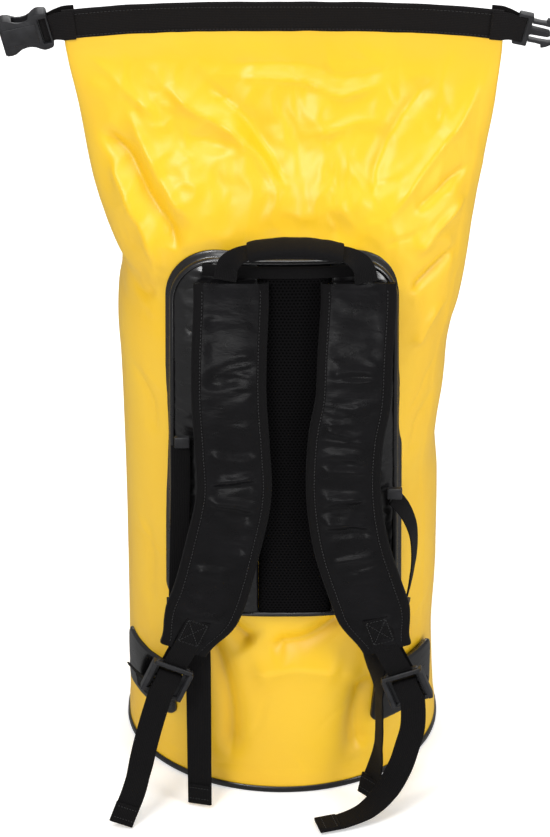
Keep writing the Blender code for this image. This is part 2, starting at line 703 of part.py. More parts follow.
# ---------------------------------------------------------------- lower anchors
def tube_point(angle, z, offset):
    """Point at a compass angle from -Y (positive to +X) on the tube, moved outward by offset."""
    half_x, half_y, near, far = smooth_table(STATIONS, z)
    c, s = math.sin(angle), -math.cos(angle)
    power = 2.0 / (near if s < 0.0 else far)
    x = math.copysign(abs(c) ** power, c) * (half_x + offset)
    y = math.copysign(abs(s) ** power, s) * (half_y + offset)
    return Vector((x, y, z))


ANCHOR_ANGLES = {"left": math.radians(-59), "right": math.radians(50)}
ANCHOR_SPAN = math.radians(19)
ANCHOR_LOW, ANCHOR_HIGH = 0.070, 0.136


def make_anchor(side):
    """Rounded patch welded low on the tube, with webbing that rises to the ladder lock."""
    rows = []
    middle = (ANCHOR_LOW + ANCHOR_HIGH) / 2
    half = (ANCHOR_HIGH - ANCHOR_LOW) / 2
    for share in (-1.0, -0.92, -0.7, -0.35, 0.0, 0.35, 0.7, 0.92, 1.0):
        z = middle + half * share
        width = 1.0 - 0.35 * max(abs(share) - 0.6, 0.0) ** 2 / 0.16
        row = []
        for i in range(9):
            angle = ANCHOR_ANGLES[side] + ANCHOR_SPAN * width * (i / 4 - 1)
            row.append((tube_point(angle, z, 0.0008), tube_point(angle, z, 0.0024)))
        rows.append(row)
    patch(side + "_anchor_patch", rows, (BLACK_GLOSS, 0.3))
    make_anchor_webbing(side)


def make_anchor_webbing(side):
    frame = lock_frame(side)
    angle = ANCHOR_ANGLES[side]
    foot = tube_point(angle, 0.084, 0.0050)
    rise = tube_point(angle, 0.106, 0.0120)
    meet = frame @ Vector((0.0, 0.0115, -0.0200))
    end = frame @ Vector((0.0, 0.0070, -0.0100))
    route = smooth_route([foot, rise, meet, end], 4)
    flat = Vector((math.cos(angle), math.sin(angle), 0.0))
    hints = [flat.lerp(frame.to_3x3() @ Vector((1.0, 0.0, 0.0)), i / (len(route) - 1))
             for i in range(len(route))]
    loft(side + "_anchor_webbing", ribbon_sections(route, hints, WEBBING_WIDTH, WEB),
         (BLACK_WEB, 0.75))


# ---------------------------------------------------------------- waist strap halves
def make_waist_strap(side):
    route = smooth_route(WAIST_ROUTES[side], 4)
    hints = [Matrix.Rotation(math.radians(turn), 3, "Z") @ Vector((1.0, 0.0, 0.0))
             for turn in spread(WAIST_TURNS[side], len(route))]
    loft(side + "_waist_strap", ribbon_sections(route, hints, WEBBING_WIDTH, WEB),
         (BLACK_WEB, 0.75), WAIST_ROUTES[side][0])
    top = Vector(WAIST_ROUTES[side][0])
    x = top.x
    root = [Vector((x, front_y(x, 0.200, 0.0030), 0.200)),
            Vector((x, front_y(x, 0.193, 0.0070), 0.193)),
            Vector((x, top.y + 0.0044, 0.183)), Vector((x, top.y + 0.0042, top.z + 0.0010))]
    slope = (front_y(x + 0.01, 0.2) - front_y(x - 0.01, 0.2)) / 0.02
    hints = [Vector((1.0, slope, 0.0)), Vector((1.0, slope, 0.0)), Vector((1.0, slope * 0.5, 0.0)),
             Matrix.Rotation(math.radians(WAIST_TURNS[side][0]), 3, "Z") @ Vector((1.0, 0.0, 0.0))]
    loft(side + "_waist_root", ribbon_sections(root, hints, WEBBING_WIDTH, WEB), (BLACK_WEB, 0.75))


# ---------------------------------------------------------------- sternum strap halves
def sternum_hints(side, count):
    """The width of the left half stays level; the right half's twists as it curls back."""
    if side == "left":
        return [Vector((1.0, 0.0, 0.0))] * count
    start, end = Vector((0.5, 1.0, 0.6)), Vector((0.15, 1.0, -0.1))
    return [start.lerp(end, i / (count - 1)) for i in range(count)]


def sternum_end(side):
    """World matrix at the webbing's end: local X across it, local -Z along it."""
    before, end = (Vector(p) for p in STERNUM_ROUTES[side][-2:])
    tangent = (end - before).normalized()
    hint = sternum_hints(side, 2)[-1]
    across = (hint - tangent * hint.dot(tangent)).normalized()
    turn = Matrix((across, across.cross(tangent), -tangent)).transposed()
    return Matrix.Translation(end) @ turn.to_4x4()


def make_sternum(side):
    place = Vector(SLIDER_PLACES[side])
    half = Vector((0.0075, 0.0030, 0.0060))
    slider = box_object(side + "_sternum_slider", place - half, place + half, (CHARCOAL, 0.42), place)
    bevel(slider, 0.0012)
    route = smooth_route(STERNUM_ROUTES[side], 4)
    hints = sternum_hints(side, len(route))
    loft(side + "_sternum_webbing", ribbon_sections(route, hints, STERNUM_WIDTH, WEB),
         (BLACK_WEB, 0.75), STERNUM_ROUTES[side][0])


def make_sternum_buckles():
    """Small side-release halves at the ends of the sternum webbing, tucked behind the straps."""
    socket = box_object("sternum_female_buckle", (-0.0115, -0.0044, -0.0290),
                        (0.0115, 0.0044, -0.0030), (CHARCOAL, 0.42))
    cut(socket, (-0.0085, -0.0029, -0.0400), (0.0085, 0.0029, -0.0100))
    socket.matrix_world = sternum_end("left")
    bevel(socket, 0.0006)
    plug = box_object("sternum_male_buckle", (-0.0115, -0.0032, -0.0280),
                      (0.0115, 0.0032, -0.0030), (CHARCOAL, 0.42))
    for low, high in ((-0.0075, -0.0020), (0.0020, 0.0075)):
        cut(plug, (low, -0.01, -0.0400), (high, 0.01, -0.0120))
    plug.matrix_world = sternum_end("right")
    bevel(plug, 0.0004)


def main():
    clear_scene()
    make_tube()
    make_base()
    make_bands()
    make_tab("left_closure_tab", LEFT_HINGE, -1)
    make_tab("right_closure_tab", RIGHT_HINGE, 1)
    make_female_buckle()
    make_male_buckle()
    make_back_panel()
    make_yoke()
    make_handle()
    for side in ("left", "right"):
        make_shoulder_strap(side)
        make_ladder_lock(side)
        make_end_webbing(side)
        make_tail(side)
        make_anchor(side)
        make_waist_strap(side)
        make_sternum(side)
    make_sternum_buckles()


main()
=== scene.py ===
"""Looks of the roll-top dry bag: fabric, padding, webbing, buckles, stage and camera.

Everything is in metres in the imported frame: +Z up, the harness on the -Y side, the base on Z = 0.
"""

import math
import random

import bmesh
import bpy
import numpy as np
from mathutils import Matrix, Vector, noise


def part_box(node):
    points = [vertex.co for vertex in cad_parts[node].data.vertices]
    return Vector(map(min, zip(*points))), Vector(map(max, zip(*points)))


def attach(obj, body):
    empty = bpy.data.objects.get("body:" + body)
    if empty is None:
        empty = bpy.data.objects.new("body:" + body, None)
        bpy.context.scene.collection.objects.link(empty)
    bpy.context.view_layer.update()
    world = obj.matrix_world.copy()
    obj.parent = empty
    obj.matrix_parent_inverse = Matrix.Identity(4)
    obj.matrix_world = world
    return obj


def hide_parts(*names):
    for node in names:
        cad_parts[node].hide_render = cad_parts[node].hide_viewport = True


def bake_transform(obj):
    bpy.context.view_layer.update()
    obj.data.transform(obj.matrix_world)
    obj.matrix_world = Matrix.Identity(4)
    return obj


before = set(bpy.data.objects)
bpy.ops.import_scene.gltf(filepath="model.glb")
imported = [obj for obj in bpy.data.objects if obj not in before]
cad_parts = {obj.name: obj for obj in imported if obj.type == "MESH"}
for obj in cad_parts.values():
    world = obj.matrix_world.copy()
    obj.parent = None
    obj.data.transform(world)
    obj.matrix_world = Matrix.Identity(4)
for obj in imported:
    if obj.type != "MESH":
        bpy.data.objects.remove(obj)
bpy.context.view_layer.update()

# ---------------------------------------------------------------- dimensions shared with the CAD
FOLD_HEIGHT = 0.7602
BAG_HEIGHT = 0.8325
MOUTH_END = 0.2125
MOUTH_HALF = 0.0030
MOUTH_DROOP = 0.010
PANEL_LOW, PANEL_HIGH = 0.216, 0.609
PANEL_LEFT, PANEL_RIGHT = -0.109, 0.111
PANEL_CORNER, PANEL_CORNER_LOW = 0.048, 0.018
STRIP_LEFT, STRIP_RIGHT = -0.0155, 0.0466
STRAP_WIDTH = 0.0730
WEBBING_WIDTH = 0.0245
STERNUM_WIDTH = 0.0190
TAB_Z = 0.804
TAB_HINGE = 0.2175
TAB_TILT = math.radians(14)    # how far the buckles hang below the line of the mouth
BAR_X = 0.2305                 # distance from the middle to the buckles' webbing bars
CLOTH_WALL = 0.0007            # the coated fabric's thickness
PANEL_SEAM = 0.0022            # how far the panel's covers stop inside its outline
CLOTH_ROUND, CLOTH_UP = 320, 290    # the fabric's grid: points round it and up it
FAR_BAND_DROP = 0.0050         # how far the far side's mouth band stops below the near one's
BAND_HEIGHT, BAND_INSIDE = 0.0325, 0.0150    # the mouth band outside and inside the lip
SOCKET_THICK, BUCKLE_THICK, PRONG_THICK = 0.0130, 0.0070, 0.0064
PRONG_APART = 0.0105           # each prong's distance from the buckle's middle line
LOCK_HALF, LOCK_CORNER, LOCK_THICK = 0.0190, 0.0052, 0.0044
TAPE_THICK, HEM_THICK = 0.0015, 0.0040
STITCH_LENGTH, THREAD_RADIUS = 0.62, 0.00038    # the length is a share of the pitch

# height, half depth, squareness of the harness side, squareness of the far side
DEPTH = np.array([
    (0.000, 0.1400, 2.0, 2.0), (0.070, 0.1412, 2.3, 2.0), (0.170, 0.1418, 2.7, 2.0),
    (0.400, 0.1410, 2.8, 2.0), (0.480, 0.1370, 2.8, 2.0), (0.560, 0.1225, 2.6, 2.0),
    (0.640, 0.0970, 2.3, 2.0), (0.710, 0.0500, 2.1, 2.1), (0.745, 0.0260, 2.2, 2.2),
    (0.775, 0.0105, 2.6, 2.6), (0.802, 0.0045, 4.5, 4.5), (BAG_HEIGHT, MOUTH_HALF, 6.0, 6.0),
])
# height, half width of the plain CAD tube, which the harness follows
CAD_WIDTH = np.array([
    (0.000, 0.1500), (0.070, 0.1510), (0.170, 0.1512), (0.400, 0.1512), (0.480, 0.1570),
    (0.560, 0.1690), (0.640, 0.1850), (0.710, 0.1965), (0.745, 0.2045), (FOLD_HEIGHT, 0.2070),
    (BAG_HEIGHT, MOUTH_END),
])
# height and outline of the slack fabric on each side
LEFT_EDGE = np.array([
    (0.000, 0.1495), (0.090, 0.1500), (0.250, 0.1520), (0.370, 0.1550), (0.440, 0.1575),
    (0.485, 0.1600), (0.508, 0.1590), (0.530, 0.1560), (0.556, 0.1555), (0.578, 0.1650),
    (0.602, 0.1735), (0.643, 0.1850), (0.713, 0.1970), (0.789, 0.2105), (BAG_HEIGHT, 0.2122),
])
RIGHT_EDGE = np.array([
    (0.000, 0.1490), (0.060, 0.1460), (0.110, 0.1450), (0.200, 0.1490), (0.290, 0.1500),
    (0.340, 0.1475), (0.370, 0.1500), (0.415, 0.1560), (0.460, 0.1595), (0.490, 0.1645),
    (0.515, 0.1715), (0.555, 0.1785), (0.602, 0.1850), (0.672, 0.1970), (0.719, 0.2047),
    (0.789, 0.2115), (BAG_HEIGHT, 0.2122),
])

# Folds of the harness side: points (x, z), half width, height outward (negative for a groove)
FRONT_FOLDS = [
    ([(-0.190, 0.775), (-0.165, 0.755), (-0.140, 0.733), (-0.118, 0.722)], 0.009, 0.0045),
    ([(-0.120, 0.757), (-0.093, 0.732), (-0.060, 0.717), (-0.028, 0.698), (0.002, 0.660)],
     0.012, 0.0075),
    ([(-0.072, 0.750), (-0.048, 0.733), (-0.020, 0.705), (0.006, 0.668)], 0.013, -0.0080),
    ([(-0.046, 0.757), (0.018, 0.754), (0.056, 0.741), (0.100, 0.752)], 0.007, 0.0045),
    ([(-0.060, 0.768), (0.020, 0.767), (0.060, 0.756), (0.115, 0.765)], 0.007, -0.0040),
    ([(-0.178, 0.700), (-0.150, 0.685), (-0.132, 0.655), (-0.112, 0.632), (-0.100, 0.606)],
     0.013, -0.0120),
    ([(-0.168, 0.680), (-0.146, 0.640), (-0.124, 0.600), (-0.118, 0.560)], 0.011, 0.0080),
    ([(-0.150, 0.725), (-0.132, 0.690), (-0.108, 0.655), (-0.092, 0.640)], 0.012, 0.0070),
    ([(-0.158, 0.560), (-0.136, 0.548), (-0.122, 0.560)], 0.009, -0.0060),
    ([(0.196, 0.752), (0.176, 0.718), (0.136, 0.676), (0.106, 0.640)], 0.014, 0.0085),
    ([(0.150, 0.756), (0.120, 0.728), (0.094, 0.690), (0.088, 0.650)], 0.016, -0.0070),
    ([(0.182, 0.668), (0.160, 0.660), (0.128, 0.640)], 0.009, -0.0065),
    ([(0.178, 0.640), (0.150, 0.618), (0.128, 0.596)], 0.010, 0.0060),
    ([(0.170, 0.592), (0.150, 0.580), (0.122, 0.562)], 0.009, -0.0070),
    ([(0.160, 0.540), (0.140, 0.524), (0.126, 0.500)], 0.010, 0.0045),
    ([(0.030, 0.745), (0.040, 0.700), (0.030, 0.650)], 0.020, 0.0045),
    ([(-0.150, 0.470), (-0.128, 0.440), (-0.124, 0.400)], 0.010, -0.0035),
    ([(0.152, 0.440), (0.132, 0.410), (0.124, 0.370)], 0.010, -0.0040),
    ([(-0.066, 0.212), (-0.048, 0.190), (-0.028, 0.172)], 0.020, -0.0150),
    ([(-0.078, 0.190), (-0.060, 0.140), (-0.052, 0.090), (-0.052, 0.030)], 0.022, -0.0160),
    ([(0.066, 0.212), (0.048, 0.194), (0.022, 0.178), (-0.014, 0.172)], 0.020, -0.0150),
    ([(-0.034, 0.140), (0.016, 0.150), (0.060, 0.140)], 0.024, 0.0095),
    ([(0.084, 0.130), (0.074, 0.080), (0.078, 0.030)], 0.022, -0.0140),
    ([(-0.135, 0.300), (-0.128, 0.250), (-0.130, 0.190)], 0.010, -0.0030),
]
BACK_FOLDS = [
    ([(-0.185, 0.745), (-0.140, 0.700), (-0.090, 0.640), (-0.060, 0.560)], 0.016, -0.0100),
    ([(-0.150, 0.755), (-0.105, 0.715), (-0.060, 0.665), (-0.025, 0.590)], 0.014, 0.0080),
    ([(0.185, 0.748), (0.135, 0.690), (0.085, 0.640), (0.070, 0.570)], 0.016, -0.0095),
    ([(0.140, 0.755), (0.100, 0.710), (0.050, 0.680), (0.015, 0.640)], 0.014, 0.0075),
    ([(-0.080, 0.762), (0.000, 0.752), (0.080, 0.764)], 0.009, -0.0050),
    ([(-0.175, 0.600), (-0.120, 0.560), (-0.040, 0.545)], 0.014, -0.0075),
    ([(-0.165, 0.560), (-0.110, 0.520), (-0.050, 0.500)], 0.013, 0.0050),
    ([(0.170, 0.590), (0.120, 0.550), (0.060, 0.520)], 0.013, -0.0075),
    ([(0.120, 0.420), (0.060, 0.390), (0.000, 0.400)], 0.016, -0.0050),
    ([(-0.130, 0.360), (-0.070, 0.330), (-0.010, 0.300)], 0.016, -0.0050),
    ([(0.110, 0.200), (0.050, 0.160), (-0.020, 0.150)], 0.016, -0.0045),
    ([(-0.090, 0.110), (-0.040, 0.070), (0.020, 0.050)], 0.014, -0.0040),
]

# Loose creases of each side: seed, number, lowest and highest place, tallest
FRONT_LOOSE = [(5, 46, 0.47, 0.775, 0.0017), (6, 26, 0.04, 0.46, 0.0019)]
BACK_LOOSE = [(7, 60, 0.40, 0.775, 0.0026), (8, 40, 0.04, 0.42, 0.0016)]

# ---------------------------------------------------------------- routes of the harness
SHOULDER_ROUTES = {
    "left": [(-0.050, -0.1305, 0.592), (-0.050, -0.1385, 0.570), (-0.052, -0.1535, 0.520),
             (-0.052, -0.1605, 0.474), (-0.049, -0.1630, 0.420), (-0.0475, -0.1635, 0.366),
             (-0.058, -0.1640, 0.307), (-0.072, -0.1635, 0.246), (-0.0885, -0.1610, 0.205),
             (-0.097, -0.1595, 0.184)],
    "right": [(0.073, -0.1305, 0.592), (0.073, -0.1385, 0.570), (0.070, -0.1525, 0.520),
              (0.068, -0.1595, 0.474), (0.061, -0.1630, 0.430), (0.059, -0.1635, 0.370),
              (0.066, -0.1640, 0.310), (0.0805, -0.1630, 0.255), (0.094, -0.1605, 0.210),
              (0.102, -0.1590, 0.184)],
}
# bends across each strap: the share of its length and the slant
STRAP_CREASES = {"left": [(0.50, 0.16), (0.57, -0.10)], "right": [(0.55, 0.08), (0.63, -0.14)]}
LOCK_PLACES = {
    "left": ((-0.1130, -0.1590, 0.1480), math.radians(23)),
    "right": ((0.1215, -0.1590, 0.1390), math.radians(-20)),
}
TAIL_ROUTES = {
    "left": [(-0.1275, -0.1690, 0.1050), (-0.1345, -0.1770, 0.0800), (-0.1440, -0.1890, 0.0400),
             (-0.1580, -0.2030, 0.0060)],
    "right": [(0.1270, -0.1690, 0.0980), (0.1215, -0.1730, 0.0760), (0.1140, -0.1765, 0.0530),
              (0.1010, -0.1805, 0.0290), (0.0820, -0.1885, 0.0115), (0.0590, -0.1970, 0.0048),
              (0.0350, -0.2040, 0.0042)],
}
TAIL_TURNS = {              # how far the tail's width swings round at each point, degrees
    "left": [18, 14, 12, 12],
    "right": [-14, -24, -36, -50, -62, -70, -72],
}
# the tail's path through its ladder lock, in the lock's own (depth, height)
TAIL_WEAVE = [(0.0046, -0.0040), (0.0046, 0.0030), (0.0030, 0.0074), (-0.0005, 0.0088),
              (-0.0042, 0.0066), (-0.0062, 0.0010), (-0.0058, -0.0060), (-0.0058, -0.0160)]
WAIST_ROUTES = {
    "left": [(-0.0825, -0.1465, 0.1740), (-0.0820, -0.1500, 0.1200), (-0.0815, -0.1560, 0.0600),
             (-0.0810, -0.1650, 0.0040)],
    "right": [(0.0885, -0.1465, 0.1740), (0.0940, -0.1450, 0.1150), (0.0935, -0.1530, 0.0550),
              (0.0830, -0.1590, 0.0090)],
}
WAIST_TURNS = {"left": [0, -8, -14, -20], "right": [-20, -72, -74, -40]}
STERNUM_ROUTES = {
    "left": [(-0.0990, -0.1460, 0.4130), (-0.0990, -0.1460, 0.3700), (-0.1000, -0.1460, 0.3200),
             (-0.1015, -0.1455, 0.2350)],
    "right": [(0.1080, -0.1420, 0.3500), (0.1185, -0.1420, 0.3350), (0.1265, -0.1400, 0.3120),
              (0.1280, -0.1390, 0.2820), (0.1245, -0.1390, 0.2500), (0.1205, -0.1395, 0.2270)],
}
HANDLE_ROUTE = [(-0.056, -0.1355, 0.5990), (-0.051, -0.1355, 0.6185), (-0.030, -0.1355, 0.6315),
                (0.012, -0.1355, 0.6360), (0.055, -0.1355, 0.6300), (0.076, -0.1355, 0.6160),
                (0.081, -0.1355, 0.5960)]
HANDLE_SPIN = [0, 50, 85, 90, 95, 130, 180]
ANCHOR_ANGLES = {"left": math.radians(-59), "right": math.radians(50)}
ANCHOR_SPAN = math.radians(19)
ANCHOR_LOW, ANCHOR_HIGH = 0.070, 0.136


# ---------------------------------------------------------------- number helpers
def read_table(table, at):
    """Monotone cubic reading of (key, value...) rows at an array of keys; one row per value."""
    table = np.asarray(table, float)
    keys, at = table[:, 0], np.clip(np.asarray(at, float), table[0, 0], table[-1, 0])
    k = np.clip(np.searchsorted(keys, at, side="right") - 1, 0, len(keys) - 2)
    width = keys[k + 1] - keys[k]
    t = (at - keys[k]) / width
    out = []
    for column in range(1, table.shape[1]):
        value = table[:, column]
        rise = np.diff(value) / np.diff(keys)
        slope = np.zeros(len(keys))
        same = rise[:-1] * rise[1:] > 0
        slope[1:-1][same] = 2 * rise[:-1][same] * rise[1:][same] / (rise[:-1] + rise[1:])[same]
        out.append(value[k] * (2 * t**3 - 3 * t**2 + 1) + slope[k] * width * (t**3 - 2 * t**2 + t)
                   + value[k + 1] * (3 * t**2 - 2 * t**3) + slope[k + 1] * width * (t**3 - t**2))
    return out


def smooth_step(low, high, value):
    """0 below low, 1 above high, smooth between."""
    t = np.clip((np.asarray(value, float) - low) / (high - low), 0.0, 1.0)
    return t * t * (3 - 2 * t)


def smooth_route(points, steps):
    """Catmull-Rom curve through points, steps places per span, as an array."""
    pts = np.asarray(points, float)
    pts = np.vstack([pts[0] * 2 - pts[1], pts, pts[-1] * 2 - pts[-2]])
    route = []
    for i in range(1, len(pts) - 2):
        p0, p1, p2, p3 = pts[i - 1 : i + 3]
        for s in range(steps):
            t = s / steps
            route.append(0.5 * (2 * p1 + (p2 - p0) * t + (2 * p0 - 5 * p1 + 4 * p2 - p3) * t**2
                                + (3 * p1 - p0 - 3 * p2 + p3) * t**3))
    route.append(pts[-2])
    return np.array(route)


def even_route(points, step):
    """The smooth curve through points, read at even distances of about step."""
    dense = smooth_route(points, 24)
    run = run_along(dense)
    count = max(int(round(run[-1] / step)), 4) + 1
    marks = np.linspace(0.0, run[-1], count)
    return np.stack([np.interp(marks, run, dense[:, k]) for k in range(3)], axis=1)


def run_along(points):
    """Distance from the first point to each point of a route."""
    return np.concatenate([[0.0], np.cumsum(np.linalg.norm(np.diff(points, axis=0), axis=1))])


def spread(values, count):
    """Values read again at count even places."""
    return np.interp(np.linspace(0, 1, count), np.linspace(0, 1, len(values)), values)


def unit(v):
    """Vectors made one long."""
    return v / np.maximum(np.linalg.norm(v, axis=-1, keepdims=True), 1e-12)


def turned(degrees, count):
    """Width hints that swing about Z from +X by the given degrees, read evenly."""
    turn = np.radians(spread(degrees, count))
    return np.stack([np.cos(turn), np.sin(turn), np.zeros(count)], axis=1)


def lumps(points, scale, seed, octaves=3):
    """Smooth noise from -1 to 1 at each point."""
    shift = Vector((seed * 7.31, seed * 3.17, seed * 5.93))
    return np.array([noise.fractal(Vector(p) / scale + shift, 0.9, 2.0, octaves) for p in points])


def creases(points, scale, seed):
    """Ridged noise from 0 to 1: thin raised crests between smooth hollows."""
    shift = Vector((seed * 4.71, seed * 2.93, seed * 8.11))
    first = np.array([noise.noise(Vector(p) / scale + shift) for p in points])
    second = np.array([noise.noise(Vector(p) / (scale * 0.47) - shift) for p in points])
    return (1 - np.abs(first) * 2) * 0.65 + (1 - np.abs(second) * 2) * 0.35


# ---------------------------------------------------------------- mesh helpers
def assign(obj, slot, body, *nodes, fill=None):
    """Give a piece its body and hide the CAD nodes it stands for; slot and fill are not used."""
    if nodes:
        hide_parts(*nodes)
    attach(obj, body)


def new_object(name, data, mat=None):
    """A new object in the scene, with its material."""
    obj = bpy.data.objects.new(name, data)
    bpy.context.scene.collection.objects.link(obj)
    if mat is not None:
        data.materials.append(mat)
    return obj


def mesh_from(work, name):
    """A bmesh's shape as a new mesh."""
    mesh = bpy.data.meshes.new(name)
    work.to_mesh(mesh)
    work.free()
    return mesh


def add_mesh(name, verts, faces, mat, uvs=None, smooth=True, sharp=None):
    """A new object from arrays. uvs holds one (u, v) pair in metres for each face corner."""
    mesh = bpy.data.meshes.new(name)
    mesh.from_pydata([tuple(v) for v in verts], [], [tuple(int(i) for i in f) for f in faces])
    mesh.update()
    if uvs is not None:
        layer = mesh.uv_layers.new(name="cloth")
        layer.data.foreach_set("uv", np.asarray(uvs, np.float32).ravel())
    if smooth:
        mesh.shade_smooth()
    if sharp is not None:
        mesh.set_sharp_from_angle(angle=math.radians(sharp))
    return new_object(name, mesh, mat)


def turn_outward(obj):
    """Make a closed mesh's faces point out of it."""
    work = bmesh.new()
    work.from_mesh(obj.data)
    if work.calc_volume(signed=True) < 0:
        bmesh.ops.reverse_faces(work, faces=work.faces[:])
    work.to_mesh(obj.data)
    work.free()
    return obj


def quads(rows, size, closed_ring=False):
    """(row, place, face) for each quad of a grid whose rows of size points are loops."""
    for i in range(rows if closed_ring else rows - 1):
        low, high = i * size, (i + 1) % rows * size
        for j in range(size):
            m = (j + 1) % size
            yield i, j, (low + j, low + m, high + m, high + j)


def loft(name, sections, mat, closed_ring=False, across=None, sharp=None):
    """A skin through equal closed sections (an array: section, point, xyz), with capped ends.
    across holds the cloth's own coordinate round a section, in metres, for its weave."""
    grid = np.asarray(sections, float)
    rows, size = grid.shape[:2]
    if across is None:
        sides = np.linalg.norm(np.roll(grid[0], -1, axis=0) - grid[0], axis=1)
        across = np.concatenate([[0.0], np.cumsum(sides)])
    along = run_along(grid.mean(axis=1))
    if closed_ring:
        along = np.append(along, along[-1] + along[1])
    faces, uvs = [], []
    for i, j, face in quads(rows, size, closed_ring):
        faces.append(face)
        uvs += [(across[j], along[i]), (across[j + 1], along[i]),
                (across[j + 1], along[i + 1]), (across[j], along[i + 1])]
    if not closed_ring:
        for ring, flip in ((0, True), (rows - 1, False)):
            face = [ring * size + j for j in range(size)]
            faces.append(face[::-1] if flip else face)
            uvs += [(0.0, 0.0)] * size
    obj = add_mesh(name, grid.reshape(-1, 3), faces, mat, uvs, sharp=sharp)
    return turn_outward(obj)


def frames_along(route, hints):
    """(side, normal) unit vectors across a route, from rough width directions."""
    last = len(route) - 1
    ahead = np.array([route[min(i + 1, last)] - route[max(i - 1, 0)] for i in range(last + 1)])
    ahead = unit(ahead)
    hints = np.broadcast_to(np.asarray(hints, float), route.shape)
    side = unit(hints - ahead * np.sum(hints * ahead, axis=1, keepdims=True))
    return side, np.cross(ahead, side)


def tape_section(width, thickness):
    """Outline (side, normal) of a flat tape with rounded edges, anticlockwise."""
    half, thick = width / 2, thickness / 2
    points = []
    for centre, start in ((half - thick, -90), (-(half - thick), 90)):
        for i in range(5):
            angle = math.radians(start + 45 * i)
            points.append((centre + thick * math.cos(angle), thick * math.sin(angle)))
        inner = np.linspace(centre, -centre, 8)[1:-1]
        points += [(s, thick if start == -90 else -thick) for s in inner]
    return np.array(points)


def sweep(name, route, hints, section, mat, sharp=None):
    """A section (or one for each place) carried along a route."""
    side, normal = frames_along(route, hints)
    section = np.asarray(section, float)
    if section.ndim == 2:
        section = np.broadcast_to(section, (len(route),) + section.shape)
    places = (route[:, None, :] + side[:, None, :] * section[:, :, :1]
              + normal[:, None, :] * section[:, :, 1:])
    return loft(name, places, mat, sharp=sharp)


def webbing(name, points, hints, width, mat, thickness=TAPE_THICK, step=0.003, waviness=0.0,
            seed=1):
    """Woven tape along smooth points, with slight waves out of its face when waviness is given."""
    route = even_route(points, step)
    hints = np.asarray(hints, float)
    if hints.ndim == 2:
        hints = np.stack([spread(hints[:, k], len(route)) for k in range(3)], axis=1)
    _, normal = frames_along(route, hints)
    if waviness:
        sway = lumps(route, 0.035, seed) * waviness * smooth_step(0, 5, np.arange(len(route)))
        route = route + normal * sway[:, None]
    return sweep(name, route, hints, tape_section(width, thickness), mat)


def apply_modifiers(obj):
    """Replace the mesh by what its modifiers make of it."""
    graph = bpy.context.evaluated_depsgraph_get()
    baked = bpy.data.meshes.new_from_object(obj.evaluated_get(graph), depsgraph=graph)
    obj.modifiers.clear()
    old = obj.data
    obj.data = baked
    bpy.data.meshes.remove(old)
    return obj


def join(name, objects, mat):
    """Several new objects as one."""
    work = bmesh.new()
    for obj in objects:
        start = len(work.verts)
        work.from_mesh(obj.data)
        work.verts.ensure_lookup_table()
        bmesh.ops.transform(work, matrix=obj.matrix_world, verts=work.verts[start:])
    joined = new_object(name, mesh_from(work, name), mat)
    for obj in objects:
        bpy.data.objects.remove(obj, do_unlink=True)
    return joined


def rounded_box(name, low, high, radius, mat):
    """A box with rounded edges."""
    work = bmesh.new()
    bmesh.ops.create_cube(work, size=1.0)
    low, high = Vector(low), Vector(high)
    for vert in work.verts:
        vert.co = Vector([low[k] if vert.co[k] < 0 else high[k] for k in range(3)])
    bmesh.ops.bevel(work, geom=work.edges[:], offset=radius, segments=3, profile=0.5,
                    affect="EDGES")
    mesh = mesh_from(work, name)
    mesh.shade_smooth()
    mesh.set_sharp_from_angle(angle=math.radians(50))
    return new_object(name, mesh, mat)


def plate(name, outline, thickness, mat, radius, holes=()):
    """An (x, z) outline extruded along Y about Y = 0, less some boxes, with rounded edges."""
    count = len(outline)
    verts = [(x, y, z) for y in (-thickness / 2, thickness / 2) for x, z in outline]
    faces = [tuple(range(count))[::-1], tuple(range(count, 2 * count))]
    faces += [(i, (i + 1) % count, (i + 1) % count + count, i + count) for i in range(count)]
    obj = turn_outward(add_mesh(name, verts, faces, mat, smooth=False))
    cutters = []
    for low, high in holes:
        corners = [Vector((x, y, z)) for x in (low[0], high[0]) for y in (low[1], high[1])
                   for z in (low[2], high[2])]
        sides = [(0, 1, 3, 2), (4, 6, 7, 5), (0, 4, 5, 1), (2, 3, 7, 6), (0, 2, 6, 4), (1, 5, 7, 3)]
        cutter = turn_outward(add_mesh(name + "_cut", corners, sides, None, smooth=False))
        step = obj.modifiers.new("cut", "BOOLEAN")
        step.object = cutter
        step.operation = "DIFFERENCE"
        cutters.append(cutter)
    round_off = obj.modifiers.new("edges", "BEVEL")
    round_off.width = radius
    round_off.segments = 3
    round_off.limit_method = "ANGLE"
    round_off.angle_limit = math.radians(35)
    apply_modifiers(obj)
    for cutter in cutters:
        bpy.data.objects.remove(cutter, do_unlink=True)
    obj.data.shade_smooth()
    obj.data.set_sharp_from_angle(angle=math.radians(50))
    return obj


